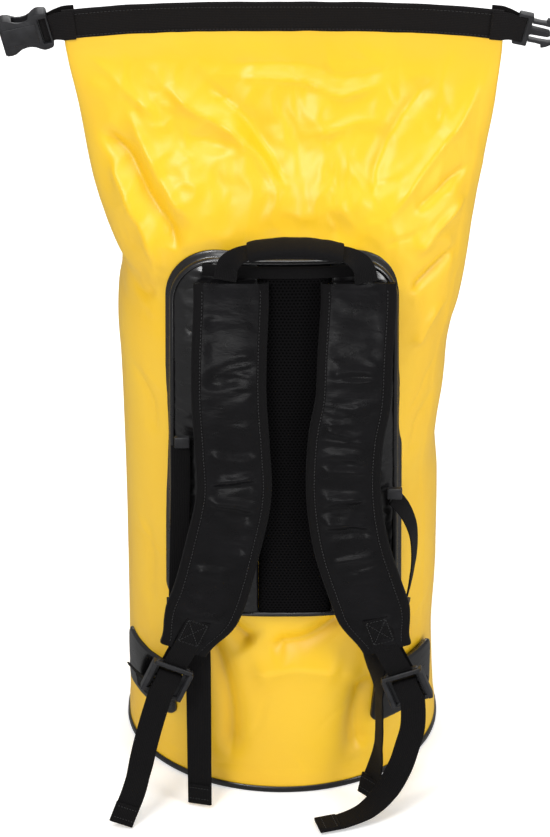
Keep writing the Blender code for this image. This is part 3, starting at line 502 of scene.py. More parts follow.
# ---------------------------------------------------------------- material helpers
class Nodes:
    """Short calls for a material's node tree."""

    def __init__(self, name, roughness, specular=0.5, coat=0.0, coat_roughness=0.1, sheen=0.0):
        self.mat = bpy.data.materials.new(name)
        self.mat.use_nodes = True
        self.tree = self.mat.node_tree
        self.shader = self.tree.nodes["Principled BSDF"]
        self.shader.inputs["Roughness"].default_value = roughness
        self.shader.inputs["Specular IOR Level"].default_value = specular
        self.shader.inputs["Coat Weight"].default_value = coat
        self.shader.inputs["Coat Roughness"].default_value = coat_roughness
        self.shader.inputs["Sheen Weight"].default_value = sheen

    def make(self, kind, **values):
        node = self.tree.nodes.new(kind)
        for key, value in values.items():
            setattr(node, key, value)
        return node

    def link(self, out, socket):
        self.tree.links.new(out, socket)

    def put(self, value, socket):
        if isinstance(value, bpy.types.NodeSocket):
            self.link(value, socket)
        else:
            socket.default_value = value

    def math(self, operation, a, b=0.0, c=0.0):
        node = self.make("ShaderNodeMath", operation=operation)
        for value, socket in zip((a, b, c), node.inputs):
            self.put(value, socket)
        return node.outputs[0]

    def place(self):
        return self.make("ShaderNodeTexCoord").outputs["Object"]

    def noise(self, scale, detail=3.0, stretch=(1, 1, 1), roughness=0.5, kind="FBM"):
        mapping = self.make("ShaderNodeMapping")
        mapping.inputs["Scale"].default_value = stretch
        self.link(self.place(), mapping.inputs["Vector"])
        node = self.make("ShaderNodeTexNoise", noise_type=kind)
        node.inputs["Scale"].default_value = scale
        node.inputs["Detail"].default_value = detail
        node.inputs["Roughness"].default_value = roughness
        self.link(mapping.outputs[0], node.inputs["Vector"])
        return node.outputs["Fac"]

    def ramp(self, value, stops):
        node = self.make("ShaderNodeValToRGB")
        while len(node.color_ramp.elements) < len(stops):
            node.color_ramp.elements.new(0.5)
        for element, (position, colour) in zip(node.color_ramp.elements, stops):
            element.position = position
            element.color = (*colour, 1.0) if len(colour) == 3 else colour
        self.link(value, node.inputs["Fac"])
        return node.outputs["Color"]

    def scaled(self, value, low, high):
        """A 0-to-1 value as low to high."""
        node = self.make("ShaderNodeMapRange")
        self.link(value, node.inputs["Value"])
        node.inputs["To Min"].default_value = low
        node.inputs["To Max"].default_value = high
        return node.outputs["Result"]

    def bump(self, heights):
        """Chain of (height, distance in metres, strength) bumps."""
        normal = None
        for height, distance, strength in heights:
            node = self.make("ShaderNodeBump")
            node.inputs["Distance"].default_value = distance
            node.inputs["Strength"].default_value = strength
            self.link(height, node.inputs["Height"])
            if normal is not None:
                self.link(normal, node.inputs["Normal"])
            normal = node.outputs["Normal"]
        self.link(normal, self.shader.inputs["Normal"])

    def uv(self):
        node = self.make("ShaderNodeUVMap", uv_map="cloth")
        split = self.make("ShaderNodeSeparateXYZ")
        self.link(node.outputs[0], split.inputs[0])
        return split.outputs[0], split.outputs[1]

    def wave(self, value, pitch):
        """0-to-1 sine of a length in metres."""
        turn = self.math("MULTIPLY_ADD", value, 2 * math.pi / pitch, 0.0)
        return self.math("MULTIPLY_ADD", self.math("SINE", turn), 0.5, 0.5)

    def colour(self, value):
        self.put(value, self.shader.inputs["Base Color"])

    def roughness(self, value):
        self.put(value, self.shader.inputs["Roughness"])


def yellow_fabric():
    """PVC-coated tarpaulin: satin-gloss skin over a faint scrim, with handling marks."""
    n = Nodes("yellow_tarpaulin", 0.40, specular=0.5, coat=0.22, coat_roughness=0.42)
    broad = n.noise(9.0, 4.0)
    n.colour(n.ramp(broad, [(0.25, (0.870, 0.505, 0.007)), (0.55, (0.900, 0.545, 0.010)),
                            (0.85, (0.925, 0.580, 0.014))]))
    n.roughness(n.scaled(n.noise(55.0, 6.0, roughness=0.65), 0.34, 0.50))
    u, v = n.uv()
    scrim = n.math("MULTIPLY", n.wave(u, 0.0021), n.wave(v, 0.0021))
    crinkle = n.noise(14.0, 4.0, roughness=0.45, kind="RIDGED_MULTIFRACTAL")
    n.bump([(scrim, 0.00006, 0.35), (n.noise(70.0, 5.0), 0.0007, 0.24),
            (n.noise(16.0, 3.0), 0.002, 0.22), (crinkle, 0.0009, 0.22)])
    return n.mat


def black_fabric(name, crinkle=1.0, specular=0.95):
    """Black coated fabric with fine crinkles that catch the light."""
    n = Nodes(name, 0.28, specular=specular)
    dark, light = (0.0022, 0.0020, 0.0025), (0.0055, 0.0050, 0.0062)
    n.colour(n.ramp(n.noise(30.0, 4.0), [(0.3, dark), (0.8, light)]))
    n.roughness(n.scaled(n.noise(60.0, 5.0, roughness=0.7), 0.21, 0.37))
    fine = n.noise(130.0, 6.0, stretch=(1.0, 1.0, 2.2), roughness=0.6)
    middle = n.noise(42.0, 4.0, stretch=(1.0, 1.0, 2.6))
    n.bump([(fine, 0.0006, 0.16 * crinkle), (middle, 0.0022, 0.20 * crinkle)])
    return n.mat


def webbing_fabric(name, dark=(0.0020, 0.0018, 0.0020), light=(0.0080, 0.0074, 0.0080), warp=0.0017,
                   weft=0.0014, depth=0.00035):
    """Woven tape: warp yarns side by side, crossed by weft in a herringbone rhythm."""
    n = Nodes(name, 0.74, specular=0.09, sheen=0.03)
    n.shader.inputs["Sheen Roughness"].default_value = 0.5
    u, v = n.uv()
    column = n.math("FLOOR", n.math("DIVIDE", u, warp))
    swing = n.math("MULTIPLY", n.math("PINGPONG", column, 2.0), math.pi * 0.5)
    across = n.math("ABSOLUTE", n.math("SINE", n.math("MULTIPLY", u, math.pi / warp)))
    turn = n.math("MULTIPLY_ADD", v, 2 * math.pi / weft, swing)
    along = n.math("MULTIPLY_ADD", n.math("SINE", turn), 0.5, 0.5)
    height = n.math("MULTIPLY", across, n.math("MULTIPLY_ADD", along, 0.65, 0.35))
    fuzz = n.noise(900.0, 2.0)
    # The colour follows the weave's height: painted shade in the hollows between the yarns, lighter
    # on their raised crowns; the fuzz noise is the yarns' own uneven tone.
    n.colour(n.ramp(n.math("MULTIPLY_ADD", fuzz, 0.35, n.math("MULTIPLY", height, 0.75)),
                    [(0.1, dark), (0.95, light)]))
    n.bump([(height, depth, 0.8), (n.noise(60.0, 3.0), 0.0006, 0.3)])
    return n.mat


def mesh_fabric():
    """Spacer mesh: rows of staggered round holes in a matt knit."""
    n = Nodes("spacer_mesh", 0.90, specular=0.03, sheen=0.0)
    u, v = n.uv()
    pitch = 0.0036
    row = n.math("FLOOR", n.math("DIVIDE", v, pitch * 0.87))
    shifted = n.math("MULTIPLY_ADD", n.math("MODULO", row, 2.0), pitch / 2, u)
    x = n.math("SUBTRACT", n.math("FRACT", n.math("DIVIDE", shifted, pitch)), 0.5)
    y = n.math("SUBTRACT", n.math("FRACT", n.math("DIVIDE", v, pitch * 0.87)), 0.5)
    radius = n.math("SQRT", n.math("ADD", n.math("MULTIPLY", x, x), n.math("MULTIPLY", y, y)))
    solid = n.math("SMOOTH_MIN", n.math("MULTIPLY", radius, 2.4), 1.0, 0.2)
    # The holes are painted dark as the shade inside them; the knit round them keeps its own tone.
    n.colour(n.ramp(solid, [(0.35, (0.0010, 0.0010, 0.0010)), (0.9, (0.0045, 0.0042, 0.0046))]))
    n.bump([(solid, 0.0010, 0.9), (n.noise(500.0, 2.0), 0.0002, 0.5)])
    return n.mat


def moulded_plastic(name):
    """Satin moulded acetal with a fine grain."""
    tone = 0.016
    n = Nodes(name, 0.42, specular=0.36)
    n.colour(n.ramp(n.noise(120.0, 3.0), [(0.3, (tone, tone, tone * 1.1)),
                                          (0.8, (tone * 1.7, tone * 1.7, tone * 1.9))]))
    n.roughness(n.scaled(n.noise(260.0, 4.0), 0.30, 0.46))
    n.bump([(n.noise(1500.0, 2.0), 0.00005, 0.5), (n.noise(45.0, 2.0), 0.0005, 0.12)])
    return n.mat


def thread():
    """Bonded sewing thread."""
    n = Nodes("sewing_thread", 0.6, specular=0.4, sheen=0.2)
    n.colour(n.ramp(n.noise(2500.0, 2.0, stretch=(1, 1, 3)), [(0.3, (0.004, 0.004, 0.005)),
                                                             (0.8, (0.010, 0.010, 0.011))]))
    n.bump([(n.noise(3000.0, 1.0), 0.0001, 0.6)])
    return n.mat


YELLOW = yellow_fabric()
BLACK = black_fabric("black_coated_fabric")
BLACK_STRAP = black_fabric("black_strap_face", crinkle=1.5, specular=0.32)
WEBBING = webbing_fabric("black_webbing")
BINDING = webbing_fabric("edge_binding", warp=0.0011, weft=0.0011, depth=0.0002)
BAND = webbing_fabric("mouth_band", dark=(0.0030, 0.0027, 0.0028),
                      light=(0.0130, 0.0115, 0.0120), warp=0.0019)
MESH = mesh_fabric()
PLASTIC = moulded_plastic("buckle_plastic")
THREAD = thread()


# ---------------------------------------------------------------- the bag's own fabric
def half_depth(z):
    """Half depth at heights, and the squareness of the harness side and of the far side."""
    return read_table(DEPTH, z)


def front_y(x, z, offset=0.0):
    """The harness side's surface, which every sewn-on piece follows."""
    x, z = np.asarray(x, float), np.asarray(z, float)
    depth, near, _ = half_depth(z)
    (width,) = read_table(CAD_WIDTH, z)
    share = np.maximum(1.0 - np.abs(x / width) ** near, 0.0)
    return -depth * share ** (1.0 / near) - offset


def droop(x, z):
    """How far the mouth's ends hang below its middle."""
    share = np.clip((z - FOLD_HEIGHT) / (BAG_HEIGHT - FOLD_HEIGHT), 0, 1)
    return -MOUTH_DROOP * share * np.abs(x / MOUTH_END) ** 3


def tube_ring(z, count):
    """Even points round the slack tube at one height, from the middle of the harness side."""
    depth, near, far = (v[0] for v in half_depth([z]))
    left, right = read_table(LEFT_EDGE, [z])[0][0], read_table(RIGHT_EDGE, [z])[0][0]
    angle = np.linspace(-math.pi / 2, 1.5 * math.pi, 1441)
    c, s = np.cos(angle), np.sin(angle)
    power = 2.0 / np.where(s < 0, near, far)
    x = np.sign(c) * np.abs(c) ** power * np.where(c > 0, right, left)
    y = np.sign(s) * np.abs(s) ** power * depth
    run = np.concatenate([[0.0], np.cumsum(np.hypot(np.diff(x), np.diff(y)))])
    marks = np.linspace(0, run[-1], count + 1)[:-1]
    return np.interp(marks, run, x), np.interp(marks, run, y)


def line_distance(x, z, points):
    """Distance to a polyline in the (x, z) plane and the place along it from 0 to 1."""
    best = np.full(x.shape, 1e9)
    place = np.zeros(x.shape)
    points = smooth_route(np.array([(p[0], 0.0, p[1]) for p in points]), 6)[:, (0, 2)]
    spans = np.linalg.norm(np.diff(points, axis=0), axis=1)
    start, total = 0.0, spans.sum()
    for (ax, az), (bx, bz), span in zip(points, points[1:], spans):
        t = np.clip(((x - ax) * (bx - ax) + (z - az) * (bz - az)) / span**2, 0, 1)
        d = np.hypot(x - ax - t * (bx - ax), z - az - t * (bz - az))
        nearer = d < best
        best = np.where(nearer, d, best)
        place = np.where(nearer, (start + t * span) / total, place)
        start += span
    return best, place


def fold_height(x, z, folds):
    """Sum of the folds' heights at points of one side, each crested and fading at its ends."""
    total = np.zeros(x.shape)
    for points, width, height in folds:
        d, place = line_distance(x, z, points)
        ends = smooth_step(0, 0.18, place) * smooth_step(0, 0.18, 1 - place)
        crest = np.exp(0.42 - 2.1 * np.sqrt((d / width) ** 2 + 0.04))
        total += 0.85 * height * crest * (0.2 + 0.8 * ends)
    return total


def short_folds(seed, count, low, high, tallest):
    """Loose creases of slack fabric: most run down and inward from the ends of the mouth."""
    chance = random.Random(seed)
    folds = []
    for _ in range(count):
        x, z = chance.uniform(-0.19, 0.19), chance.uniform(low, high)
        lean = math.radians(chance.gauss(0, 38)) - 1.3 * x / 0.2
        length = chance.uniform(0.020, 0.075)
        points = []
        for _ in range(4):
            points.append((x, z))
            x += math.sin(lean) * length / 3
            z -= math.cos(lean) * length / 3
            lean += math.radians(chance.gauss(0, 22))
        size = chance.uniform(0.35, 1.0) * tallest
        folds.append((points, 0.0026 + 1.1 * size, size * chance.choice((1, 1, -1))))
    return folds


def panel_inside(x, z, margin):
    """1 well inside the back panel's outline, 0 outside it, with a soft margin."""
    dx = np.minimum(x - PANEL_LEFT, PANEL_RIGHT - x)
    dz = np.minimum(z - PANEL_LOW, PANEL_HIGH - z)
    corner = np.where((z > PANEL_HIGH - PANEL_CORNER) & (dx < PANEL_CORNER),
                      PANEL_CORNER - np.hypot(PANEL_CORNER - dx, PANEL_CORNER - dz), 1.0)
    return smooth_step(-margin, 0.002, np.minimum(np.minimum(dx, dz), corner))


def slack_tube(count_round, count_up):
    """Grid of the slack fabric: rows of points, the middle of the harness side first."""
    heights = np.linspace(0.0015, BAG_HEIGHT - 0.0070, count_up)
    grid = np.zeros((count_up, count_round, 3))
    for i, z in enumerate(heights):
        x, y = tube_ring(z, count_round)
        grid[i] = np.stack([x, y, np.full(count_round, z)], axis=1)
    around = unit(np.roll(grid, -1, axis=1) - np.roll(grid, 1, axis=1))
    upward = unit(np.gradient(grid, axis=0))
    normal = unit(np.cross(around, upward))
    x, y, z = grid[..., 0], grid[..., 1], grid[..., 2]
    front, back = (fold_height(x, z, sum((short_folds(*loose) for loose in creased), folds))
                   for folds, creased in ((FRONT_FOLDS, FRONT_LOOSE), (BACK_FOLDS, BACK_LOOSE)))
    rise = np.where(y < 0, front, back)
    flat = grid.reshape(-1, 3) + 0.02 * lumps(grid.reshape(-1, 3), 0.10, 3)[:, None]
    slack = 0.0012 + 0.0052 * smooth_step(0.44, 0.62, z)
    rise += slack * (creases(flat * (1.0, 1.0, 0.62), 0.085, 4).reshape(z.shape) - 0.5)
    rise += 0.30 * slack * (creases(flat * (1.0, 1.0, 0.75), 0.034, 9).reshape(z.shape) - 0.5)
    rise *= smooth_step(0.0, 0.030, np.abs(y)) * 0.82 + 0.18
    right, left = (read_table(edge, z.ravel())[0].reshape(z.shape)
                   for edge in (RIGHT_EDGE, LEFT_EDGE))
    rise *= 1 - 0.8 * smooth_step(0.84, 0.97, np.abs(x) / np.where(x > 0, right, left))
    rise *= 1 - smooth_step(0.780, 0.800, z)
    rise *= smooth_step(0.0, 0.03, z)
    inside = np.where(y < 0, panel_inside(x, z, 0.020), 0.0)
    rise *= 1 - inside
    grid += normal * rise[..., None]
    grid[..., 2] += droop(x, z)
    return grid


def grid_object(name, grid, mat):
    """A skin over a grid of points, closed round the tube, with the cloth's own coordinates."""
    rows, columns = grid.shape[:2]
    step_round = np.linalg.norm(np.roll(grid, -1, axis=1) - grid, axis=2).mean()
    step_up = np.linalg.norm(np.diff(grid, axis=0), axis=2).mean()
    faces, uvs = [], []
    for i, j, face in quads(rows, columns):
        faces.append(face)
        for a, b in ((j, i), (j + 1, i), (j + 1, i + 1), (j, i + 1)):
            uvs.append((a * step_round, b * step_up))
    return add_mesh(name, grid.reshape(-1, 3), faces, mat, uvs)


def make_bag_fabric():
    """The coated tube: slack fabric up to the fold and the flat mouth above it."""
    obj = grid_object("bag_fabric", slack_tube(CLOTH_ROUND, CLOTH_UP), YELLOW)
    add_weld_seams(obj)
    thick = obj.modifiers.new("wall", "SOLIDIFY")
    thick.thickness = CLOTH_WALL
    thick.offset = -1.0
    apply_modifiers(obj)
    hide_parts("tube_lower", "tube_upper", "mouth_section")
    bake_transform(obj)
    return obj


def add_weld_seams(obj):
    """Raised laps where the tube is welded: one up the right side, one round the base."""
    count = len(obj.data.vertices)
    co, normal = np.empty(count * 3), np.empty(count * 3)
    obj.data.vertices.foreach_get("co", co)
    obj.data.vertices.foreach_get("normal", normal)
    co, normal = co.reshape(-1, 3), normal.reshape(-1, 3)
    (edge,) = read_table(RIGHT_EDGE, co[:, 2])
    lap = smooth_step(-0.0012, 0.0012, co[:, 0] - edge + 0.0135) * (co[:, 1] < 0.0)
    rise = 0.0007 * lap * smooth_step(0.02, 0.05, co[:, 2])
    rise += 0.0006 * (1 - smooth_step(0.0225, 0.0245, co[:, 2]))
    obj.data.vertices.foreach_set("co", (co + normal * rise[:, None]).ravel())
    obj.data.update()


# the welded rim's section: height and reach out of the tube
RIM_SECTION = [(0.0, 0.0002), (0.0, 0.0018), (0.0006, 0.0026), (0.0052, 0.0024),
               (0.0062, 0.0018), (0.0062, 0.0010), (0.0054, 0.0007)]


def make_base():
    """The round base disc and the welded rim round its edge."""
    count = 160
    rows = []
    for z, reach in RIM_SECTION:
        x, y = tube_ring(max(z, 0.0015), count)
        ring = np.stack([x, y, np.full(count, z)], axis=1)
        around = unit(np.roll(ring, -1, axis=0) - np.roll(ring, 1, axis=0))
        out = np.stack([around[:, 1], -around[:, 0], np.zeros(count)], axis=1)
        wave = lumps(ring, 0.06, 5) * 0.0004 if z > 0 else np.zeros(count)
        rows.append(ring + out * (reach + wave[:, None]))
    rim = loft("welded_rim", np.array(rows).transpose(1, 0, 2), BLACK, closed_ring=True)
    assign(rim, "black_coated_fabric", "bag", "base_rim")
    x, y = tube_ring(0.0015, count)
    rings = [np.stack([x * 0.992, y * 0.992, np.full(count, z)], axis=1) for z in (0.0003, 0.0024)]
    disc = loft("base_disc", rings, BLACK, sharp=40)
    assign(disc, "black_coated_fabric", "bag", "base_panel")


# ---------------------------------------------------------------- mouth bands and tabs
def make_band(name, node, sign):
    """Flat woven band along one side of the mouth, turned over the lip and down inside it."""
    x = np.linspace(-MOUTH_END - 0.0012, MOUTH_END + 0.0012, 170)
    drop = 0.0 if sign < 0 else FAR_BAND_DROP
    low, inner_low = BAG_HEIGHT - BAND_HEIGHT, BAG_HEIGHT - BAND_INSIDE
    top = BAG_HEIGHT + 0.0002 - drop
    outer, inner = MOUTH_HALF + 0.0022, MOUTH_HALF - 0.0019
    middle, reach = (outer + inner) / 2, (outer - inner) / 2
    section = [(outer, z) for z in np.linspace(low + 0.0006, top - 0.0020, 8)]
    turns = [math.pi * i / 8 for i in range(1, 8)]
    section += [(middle + reach * math.cos(t), top - 0.0020 + 0.0020 * math.sin(t)) for t in turns]
    section += [(inner, z) for z in np.linspace(top - 0.0020, inner_low + 0.0004, 4)]
    section += [(inner + 0.0004, inner_low), (inner + 0.0009, inner_low + 0.0004)]
    section += [(inner + 0.0009, top - 0.0020), (outer - 0.0018, top - 0.0020)]
    section += [(outer - 0.0018, low + 0.0004), (outer - 0.0013, low), (outer - 0.0005, low)]
    rows = []
    for a in x:
        fall = -MOUTH_DROOP * abs(a / MOUTH_END) ** 3
        wave = 0.0006 * noise.noise(Vector((a / 0.03, 0.0, sign * 0.7)))
        bow = 0.0005 * noise.noise(Vector((a / 0.02, 3.0, sign * 0.7)))
        rows.append([(a, sign * (y + (bow if z < top - 0.010 else 0.0)), z + fall + wave)
                     for y, z in section])
    obj = loft(name, rows, BAND)
    assign(obj, "black_webbing", "roll_top", node, *(["mouth_stiffener"] if sign < 0 else []))
    for height in (low + 0.0030, top - 0.0045):
        line = [(a, sign * (outer + 0.0003), height - MOUTH_DROOP * abs(a / MOUTH_END) ** 3)
                for a in x[2:-2]]
        row = stitches(name + "_stitches", line, [(0.0, sign, 0.0)] * len(line), 0.0036)
        assign(row, "black_webbing", "roll_top")


def make_closure():
    """Both mouth bands, the tabs at their ends and the two halves of the buckle."""
    make_band("front_band", "front_mouth_band", -1)
    make_band("rear_band", "rear_mouth_band", 1)
    for side, sign in (("left", -1), ("right", 1)):
        make_tab(side, sign)
    make_female_buckle()
    make_male_buckle()


def tab_tilt(sign):
    """The turn about one tab's hinge that lets its buckle hang."""
    hinge = Matrix.Translation((sign * TAB_HINGE, 0.0, TAB_Z))
    return hinge @ Matrix.Rotation(sign * TAB_TILT, 4, "Y") @ hinge.inverted()


def make_tab(side, sign):
    """The band's doubled end: from the mouth's corner round the buckle's bar and back."""
    bar, ply, tilt = sign * BAR_X, 0.0032, tab_tilt(sign)
    root = BAG_HEIGHT - MOUTH_DROOP - 0.0163
    near = [(sign * (MOUTH_END - 0.012), 0.0064, root + 0.0012),
            (sign * (MOUTH_END - 0.002), 0.0062, root + 0.0002),
            (sign * (MOUTH_END + 0.004), 0.0048, root - 0.0011)]
    far = [(bar - sign * 0.004, 0.0030)]
    turns = [math.pi * i / 6 for i in range(7)]
    far += [(bar + sign * ply * math.sin(t), ply * math.cos(t)) for t in turns]
    far += [(bar - sign * 0.004, -0.0030)]
    route = [Vector(p) for p in near] + [tilt @ Vector((x, y, TAB_Z)) for x, y in far]
    route += [Vector((x, -y, z)) for x, y, z in reversed(near)]
    route = even_route([tuple(p) for p in route], 0.0012)
    share = smooth_step(MOUTH_END, BAR_X - 0.006, np.abs(route[:, 0]))
    sections = np.array([tape_section(0.0318 - 0.0036 * a, 0.0013) for a in share])
    down = np.array([-sign * math.sin(TAB_TILT), 0.0, -math.cos(TAB_TILT)])
    hints = np.array([(0.0, 0.0, -1.0) + (down - (0.0, 0.0, -1.0)) * a for a in share])
    tab = sweep(side + "_tab_webbing", route, -hints, sections, BAND)
    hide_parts(side + "_closure_tab")
    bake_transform(tab)


def bar_cuts(sign):
    """Boxes that leave a thin bar in one buckle half: a slot on each side of it and two flats."""
    bar, wide = sign * BAR_X, 0.0145
    left, right = (0.0042, 0.0041) if sign > 0 else (0.0041, 0.0042)
    spans = [((bar - left, -0.02), (bar - 0.0019, 0.02)),
             ((bar + 0.0019, -0.02), (bar + right, 0.02)),
             ((bar - 0.0030, -0.02), (bar + 0.0030, -0.0020)),
             ((bar - 0.0030, 0.0020), (bar + 0.0030, 0.02))]
    return [((*low, -wide), (*high, wide)) for low, high in spans]


def make_female_buckle():
    """Waisted socket half, its mouth away from the bag, with side windows and rounded shoulders."""
    x0 = -(BAR_X - 0.0055)
    profile = [(0.0, 0.0178), (0.0015, 0.0196), (0.006, 0.0208), (0.010, 0.0208), (0.0135, 0.0190),
               (0.017, 0.0163), (0.021, 0.0146), (0.026, 0.0142), (0.031, 0.0152), (0.0345, 0.0172),
               (0.038, 0.0193), (0.042, 0.0201), (0.046, 0.0197), (0.0480, 0.0180)]
    outline = [(x0 - a, b) for a, b in profile] + [(x0 - a, -b) for a, b in reversed(profile)]
    socket = [((x0 - 0.052, -0.0042, -0.0150), (x0 - 0.0150, 0.0042, 0.0150)),
              ((x0 - 0.0345, -0.0042, -0.0300), (x0 - 0.0180, 0.0042, 0.0300))]
    body = plate("female_buckle_body", outline, SOCKET_THICK, PLASTIC, 0.0011,
                 holes=bar_cuts(-1) + socket)
    body.data.transform(tab_tilt(-1) @ Matrix.Translation((0, 0, TAB_Z)))
    assign(body, "buckle_plastic", "left_tab", "female_buckle")
    for sign in (-1, 1):
        rib = rounded_box("female_buckle_rib" + ("_front" if sign < 0 else "_rear"),
                          (x0 - 0.0460, sign * 0.0068 - 0.0006, TAB_Z - 0.0100),
                          (x0 - 0.0125, sign * 0.0068 + 0.0006, TAB_Z + 0.0100), 0.0005, PLASTIC)
        rib.data.transform(tab_tilt(-1))
        assign(rib, "buckle_plastic", "left_tab")


def make_male_buckle():
    """Plug half: webbing frame, centre guide and the two sprung prongs."""
    x0 = BAR_X - 0.0055
    guide_end = x0 + 0.0345
    outline = [(x0, -0.0165), (x0 + 0.001, -0.0175), (x0 + 0.0132, -0.0175), (x0 + 0.0142, -0.0165),
               (x0 + 0.0142, -0.0040), (x0 + 0.0160, -0.0033), (x0 + 0.0320, -0.0026),
               (guide_end - 0.0008, -0.0014), (guide_end, 0.0), (guide_end - 0.0008, 0.0014),
               (x0 + 0.0320, 0.0026), (x0 + 0.0160, 0.0033), (x0 + 0.0142, 0.0040),
               (x0 + 0.0142, 0.0165), (x0 + 0.0132, 0.0175), (x0 + 0.001, 0.0175), (x0, 0.0165)]
    body = plate("male_buckle_body", outline, BUCKLE_THICK, PLASTIC, 0.0007, holes=bar_cuts(1))
    body.data.transform(tab_tilt(1) @ Matrix.Translation((0, 0, TAB_Z)))
    assign(body, "buckle_plastic", "right_tab", "male_buckle")
    root_x, length = BAR_X + 0.0090, 0.0235
    for name, sign in (("upper_prong", 1), ("lower_prong", -1)):
        arm = [(0.0, -0.0015), (length * 0.45, -0.0013), (length * 0.80, -0.0018),
               (length - 0.0006, -0.0030), (length, -0.0022), (length - 0.0008, 0.0004),
               (length * 0.80, 0.0036), (length * 0.63, 0.0055), (length * 0.585, 0.0053),
               (length * 0.56, 0.0020), (length * 0.30, 0.0015), (0.0, 0.0018)]
        outline = [(root_x + x, z * sign) for x, z in arm]
        prong = plate(name + "_arm", outline, PRONG_THICK, PLASTIC, 0.0007)
        prong.data.transform(tab_tilt(1) @ Matrix.Translation((0, 0, TAB_Z + sign * PRONG_APART)))
        assign(prong, "buckle_plastic", name, name)


# ---------------------------------------------------------------- back panel
def panel_edges(z, grow):
    """Left and right edge of the panel's outline at an array of heights."""
    low, high = PANEL_LOW - grow, PANEL_HIGH + grow
    cut_in = np.zeros(np.shape(z))
    for corner, depth in ((PANEL_CORNER + grow, high - z), (PANEL_CORNER_LOW + grow, z - low)):
        gone = corner - np.sqrt(np.maximum(corner**2 - (corner - depth) ** 2, 0.0))
        cut_in = np.maximum(cut_in, np.where(depth < corner, gone, 0.0))
    return PANEL_LEFT - grow + cut_in, PANEL_RIGHT + grow - cut_in


def panel_grid(grow, left_limit, right_limit, rows, columns):
    """(x, z) grids inside the panel's outline, between two vertical limits."""
    turn = np.linspace(0, math.pi, rows)
    low, high = PANEL_LOW - grow, PANEL_HIGH + grow
    z = low + (high - low) * (0.25 * (1 - np.cos(turn)) + 0.5 * np.linspace(0, 1, rows))
    left, right = panel_edges(z, grow)
    left, right = np.maximum(left, left_limit), np.minimum(right, right_limit)
    share = np.linspace(0, 1, columns)
    x = left[:, None] + (right - left)[:, None] * share
    return x, np.broadcast_to(z[:, None], x.shape)


def panel_piece(name, x, z, back, front, mat):
    """A closed slab over a grid on the harness side; front holds the offset at each point."""
    rows, columns = x.shape
    fore = np.stack([x, front_y(x, z, front), z], axis=2)
    rear = np.stack([x, front_y(x, z, back), z], axis=2)
    ring = np.concatenate([fore, rear[:, ::-1]], axis=1)
    across = np.concatenate([x[rows // 2] - x[rows // 2, 0], np.full(columns, x[rows // 2, -1])])
    across = np.append(across, across[-1])
    verts, faces, uvs = ring.reshape(-1, 3), [], []
    size = 2 * columns
    for _, _, face in quads(rows, size):
        faces.append(face)
        uvs += [(verts[k][0], verts[k][2]) for k in face]
    for i, flip in ((0, True), (rows - 1, False)):
        for j in range(columns - 1):
            start, stop = i * size + j, i * size + size - 1 - j
            quad = (start, start + 1, stop - 1, stop)[::-1 if flip else 1]
            faces.append(quad)
            uvs += [(verts[k][0], verts[k][2]) for k in quad]
    return turn_outward(add_mesh(name, verts, faces, mat, uvs, sharp=60))


def padded_offset(x, z, base, crown, seed, crease):
    """Offset of a padded cover: crowned inside its edges and creased across."""
    left, right = x[:, :1], x[:, -1:]
    width = np.maximum(right - left, 1e-6)
    share = (x - left) / width
    side = np.clip(np.minimum(share, 1 - share) * width / 0.012, 0, 1)
    ends = np.clip(np.minimum(z - z[0, 0], z[-1, 0] - z) / 0.014, 0, 1)
    dome = np.sqrt(np.clip(side * (2 - side), 0, 1)) * np.sqrt(np.clip(ends * (2 - ends), 0, 1))
    flat = np.stack([x.ravel() * 0.6, z.ravel() * 0, z.ravel() * 1.5], axis=1)
    sharp = creases(flat, 0.020, seed).reshape(x.shape) - 0.5
    soft = lumps(flat, 0.035, seed + 1).reshape(x.shape)
    return base + dome * (crown + crease * (1.1 * sharp + 0.6 * soft))


def make_back_panel():
    """Two padded covers with the mesh channel between them, then the edging."""
    # name, left and right limits, rows, columns, (base, crown, seed, crease), looks, CAD nodes
    covers = (
        ("left_panel_cushion", -1, STRIP_LEFT - 0.0085, 210, 46, (0.0078, 0.0036, 3, 0.0020),
         BLACK, "black_coated_fabric", ["left_panel_cover"]),
        ("right_panel_cushion", STRIP_RIGHT, 1, 210, 34, (0.0078, 0.0036, 8, 0.0020),
         BLACK, "black_coated_fabric", ["right_panel_cover"]),
        ("mesh_channel", STRIP_LEFT - 0.0079, STRIP_RIGHT - 0.0006, 200, 30,
         (0.0070, 0.0040, 12, 0.0003), MESH, "spacer_mesh", ["mesh_strip", "back_pad_foam"]),
    )
    for name, left, right, rows, columns, padding, mat, slot, nodes in covers:
        x, z = panel_grid(-PANEL_SEAM, left, right, rows, columns)
        cover = panel_piece(name, x, z, 0.0024, padded_offset(x, z, *padding), mat)
        assign(cover, slot, "bag", *nodes, fill=0.7)
    make_piping()
    make_yoke()


def panel_outline(step):
    """Even points (x, z) round the panel's outline, anticlockwise, with outward directions."""
    pieces = []

    def arc(cx, cz, radius, start):
        angles = np.radians(start + np.linspace(0, 90, 16))
        return np.stack([cx + radius * np.cos(angles), cz + radius * np.sin(angles)], axis=1)

    r, s = PANEL_CORNER, PANEL_CORNER_LOW
    pieces.append(arc(PANEL_RIGHT - s, PANEL_LOW + s, s, -90))
    pieces.append(arc(PANEL_RIGHT - r, PANEL_HIGH - r, r, 0))
    pieces.append(arc(PANEL_LEFT + r, PANEL_HIGH - r, r, 90))
    pieces.append(arc(PANEL_LEFT + s, PANEL_LOW + s, s, 180))
    loop = np.vstack(pieces + [pieces[0][:1]])
    run = run_along(loop)
    marks = np.linspace(0, run[-1], int(run[-1] / step))[:-1]
    even = np.stack([np.interp(marks, run, loop[:, k]) for k in range(2)], axis=1)
    ahead = unit(np.roll(even, -1, axis=0) - np.roll(even, 1, axis=0))
    return even, np.stack([ahead[:, 1], -ahead[:, 0]], axis=1)


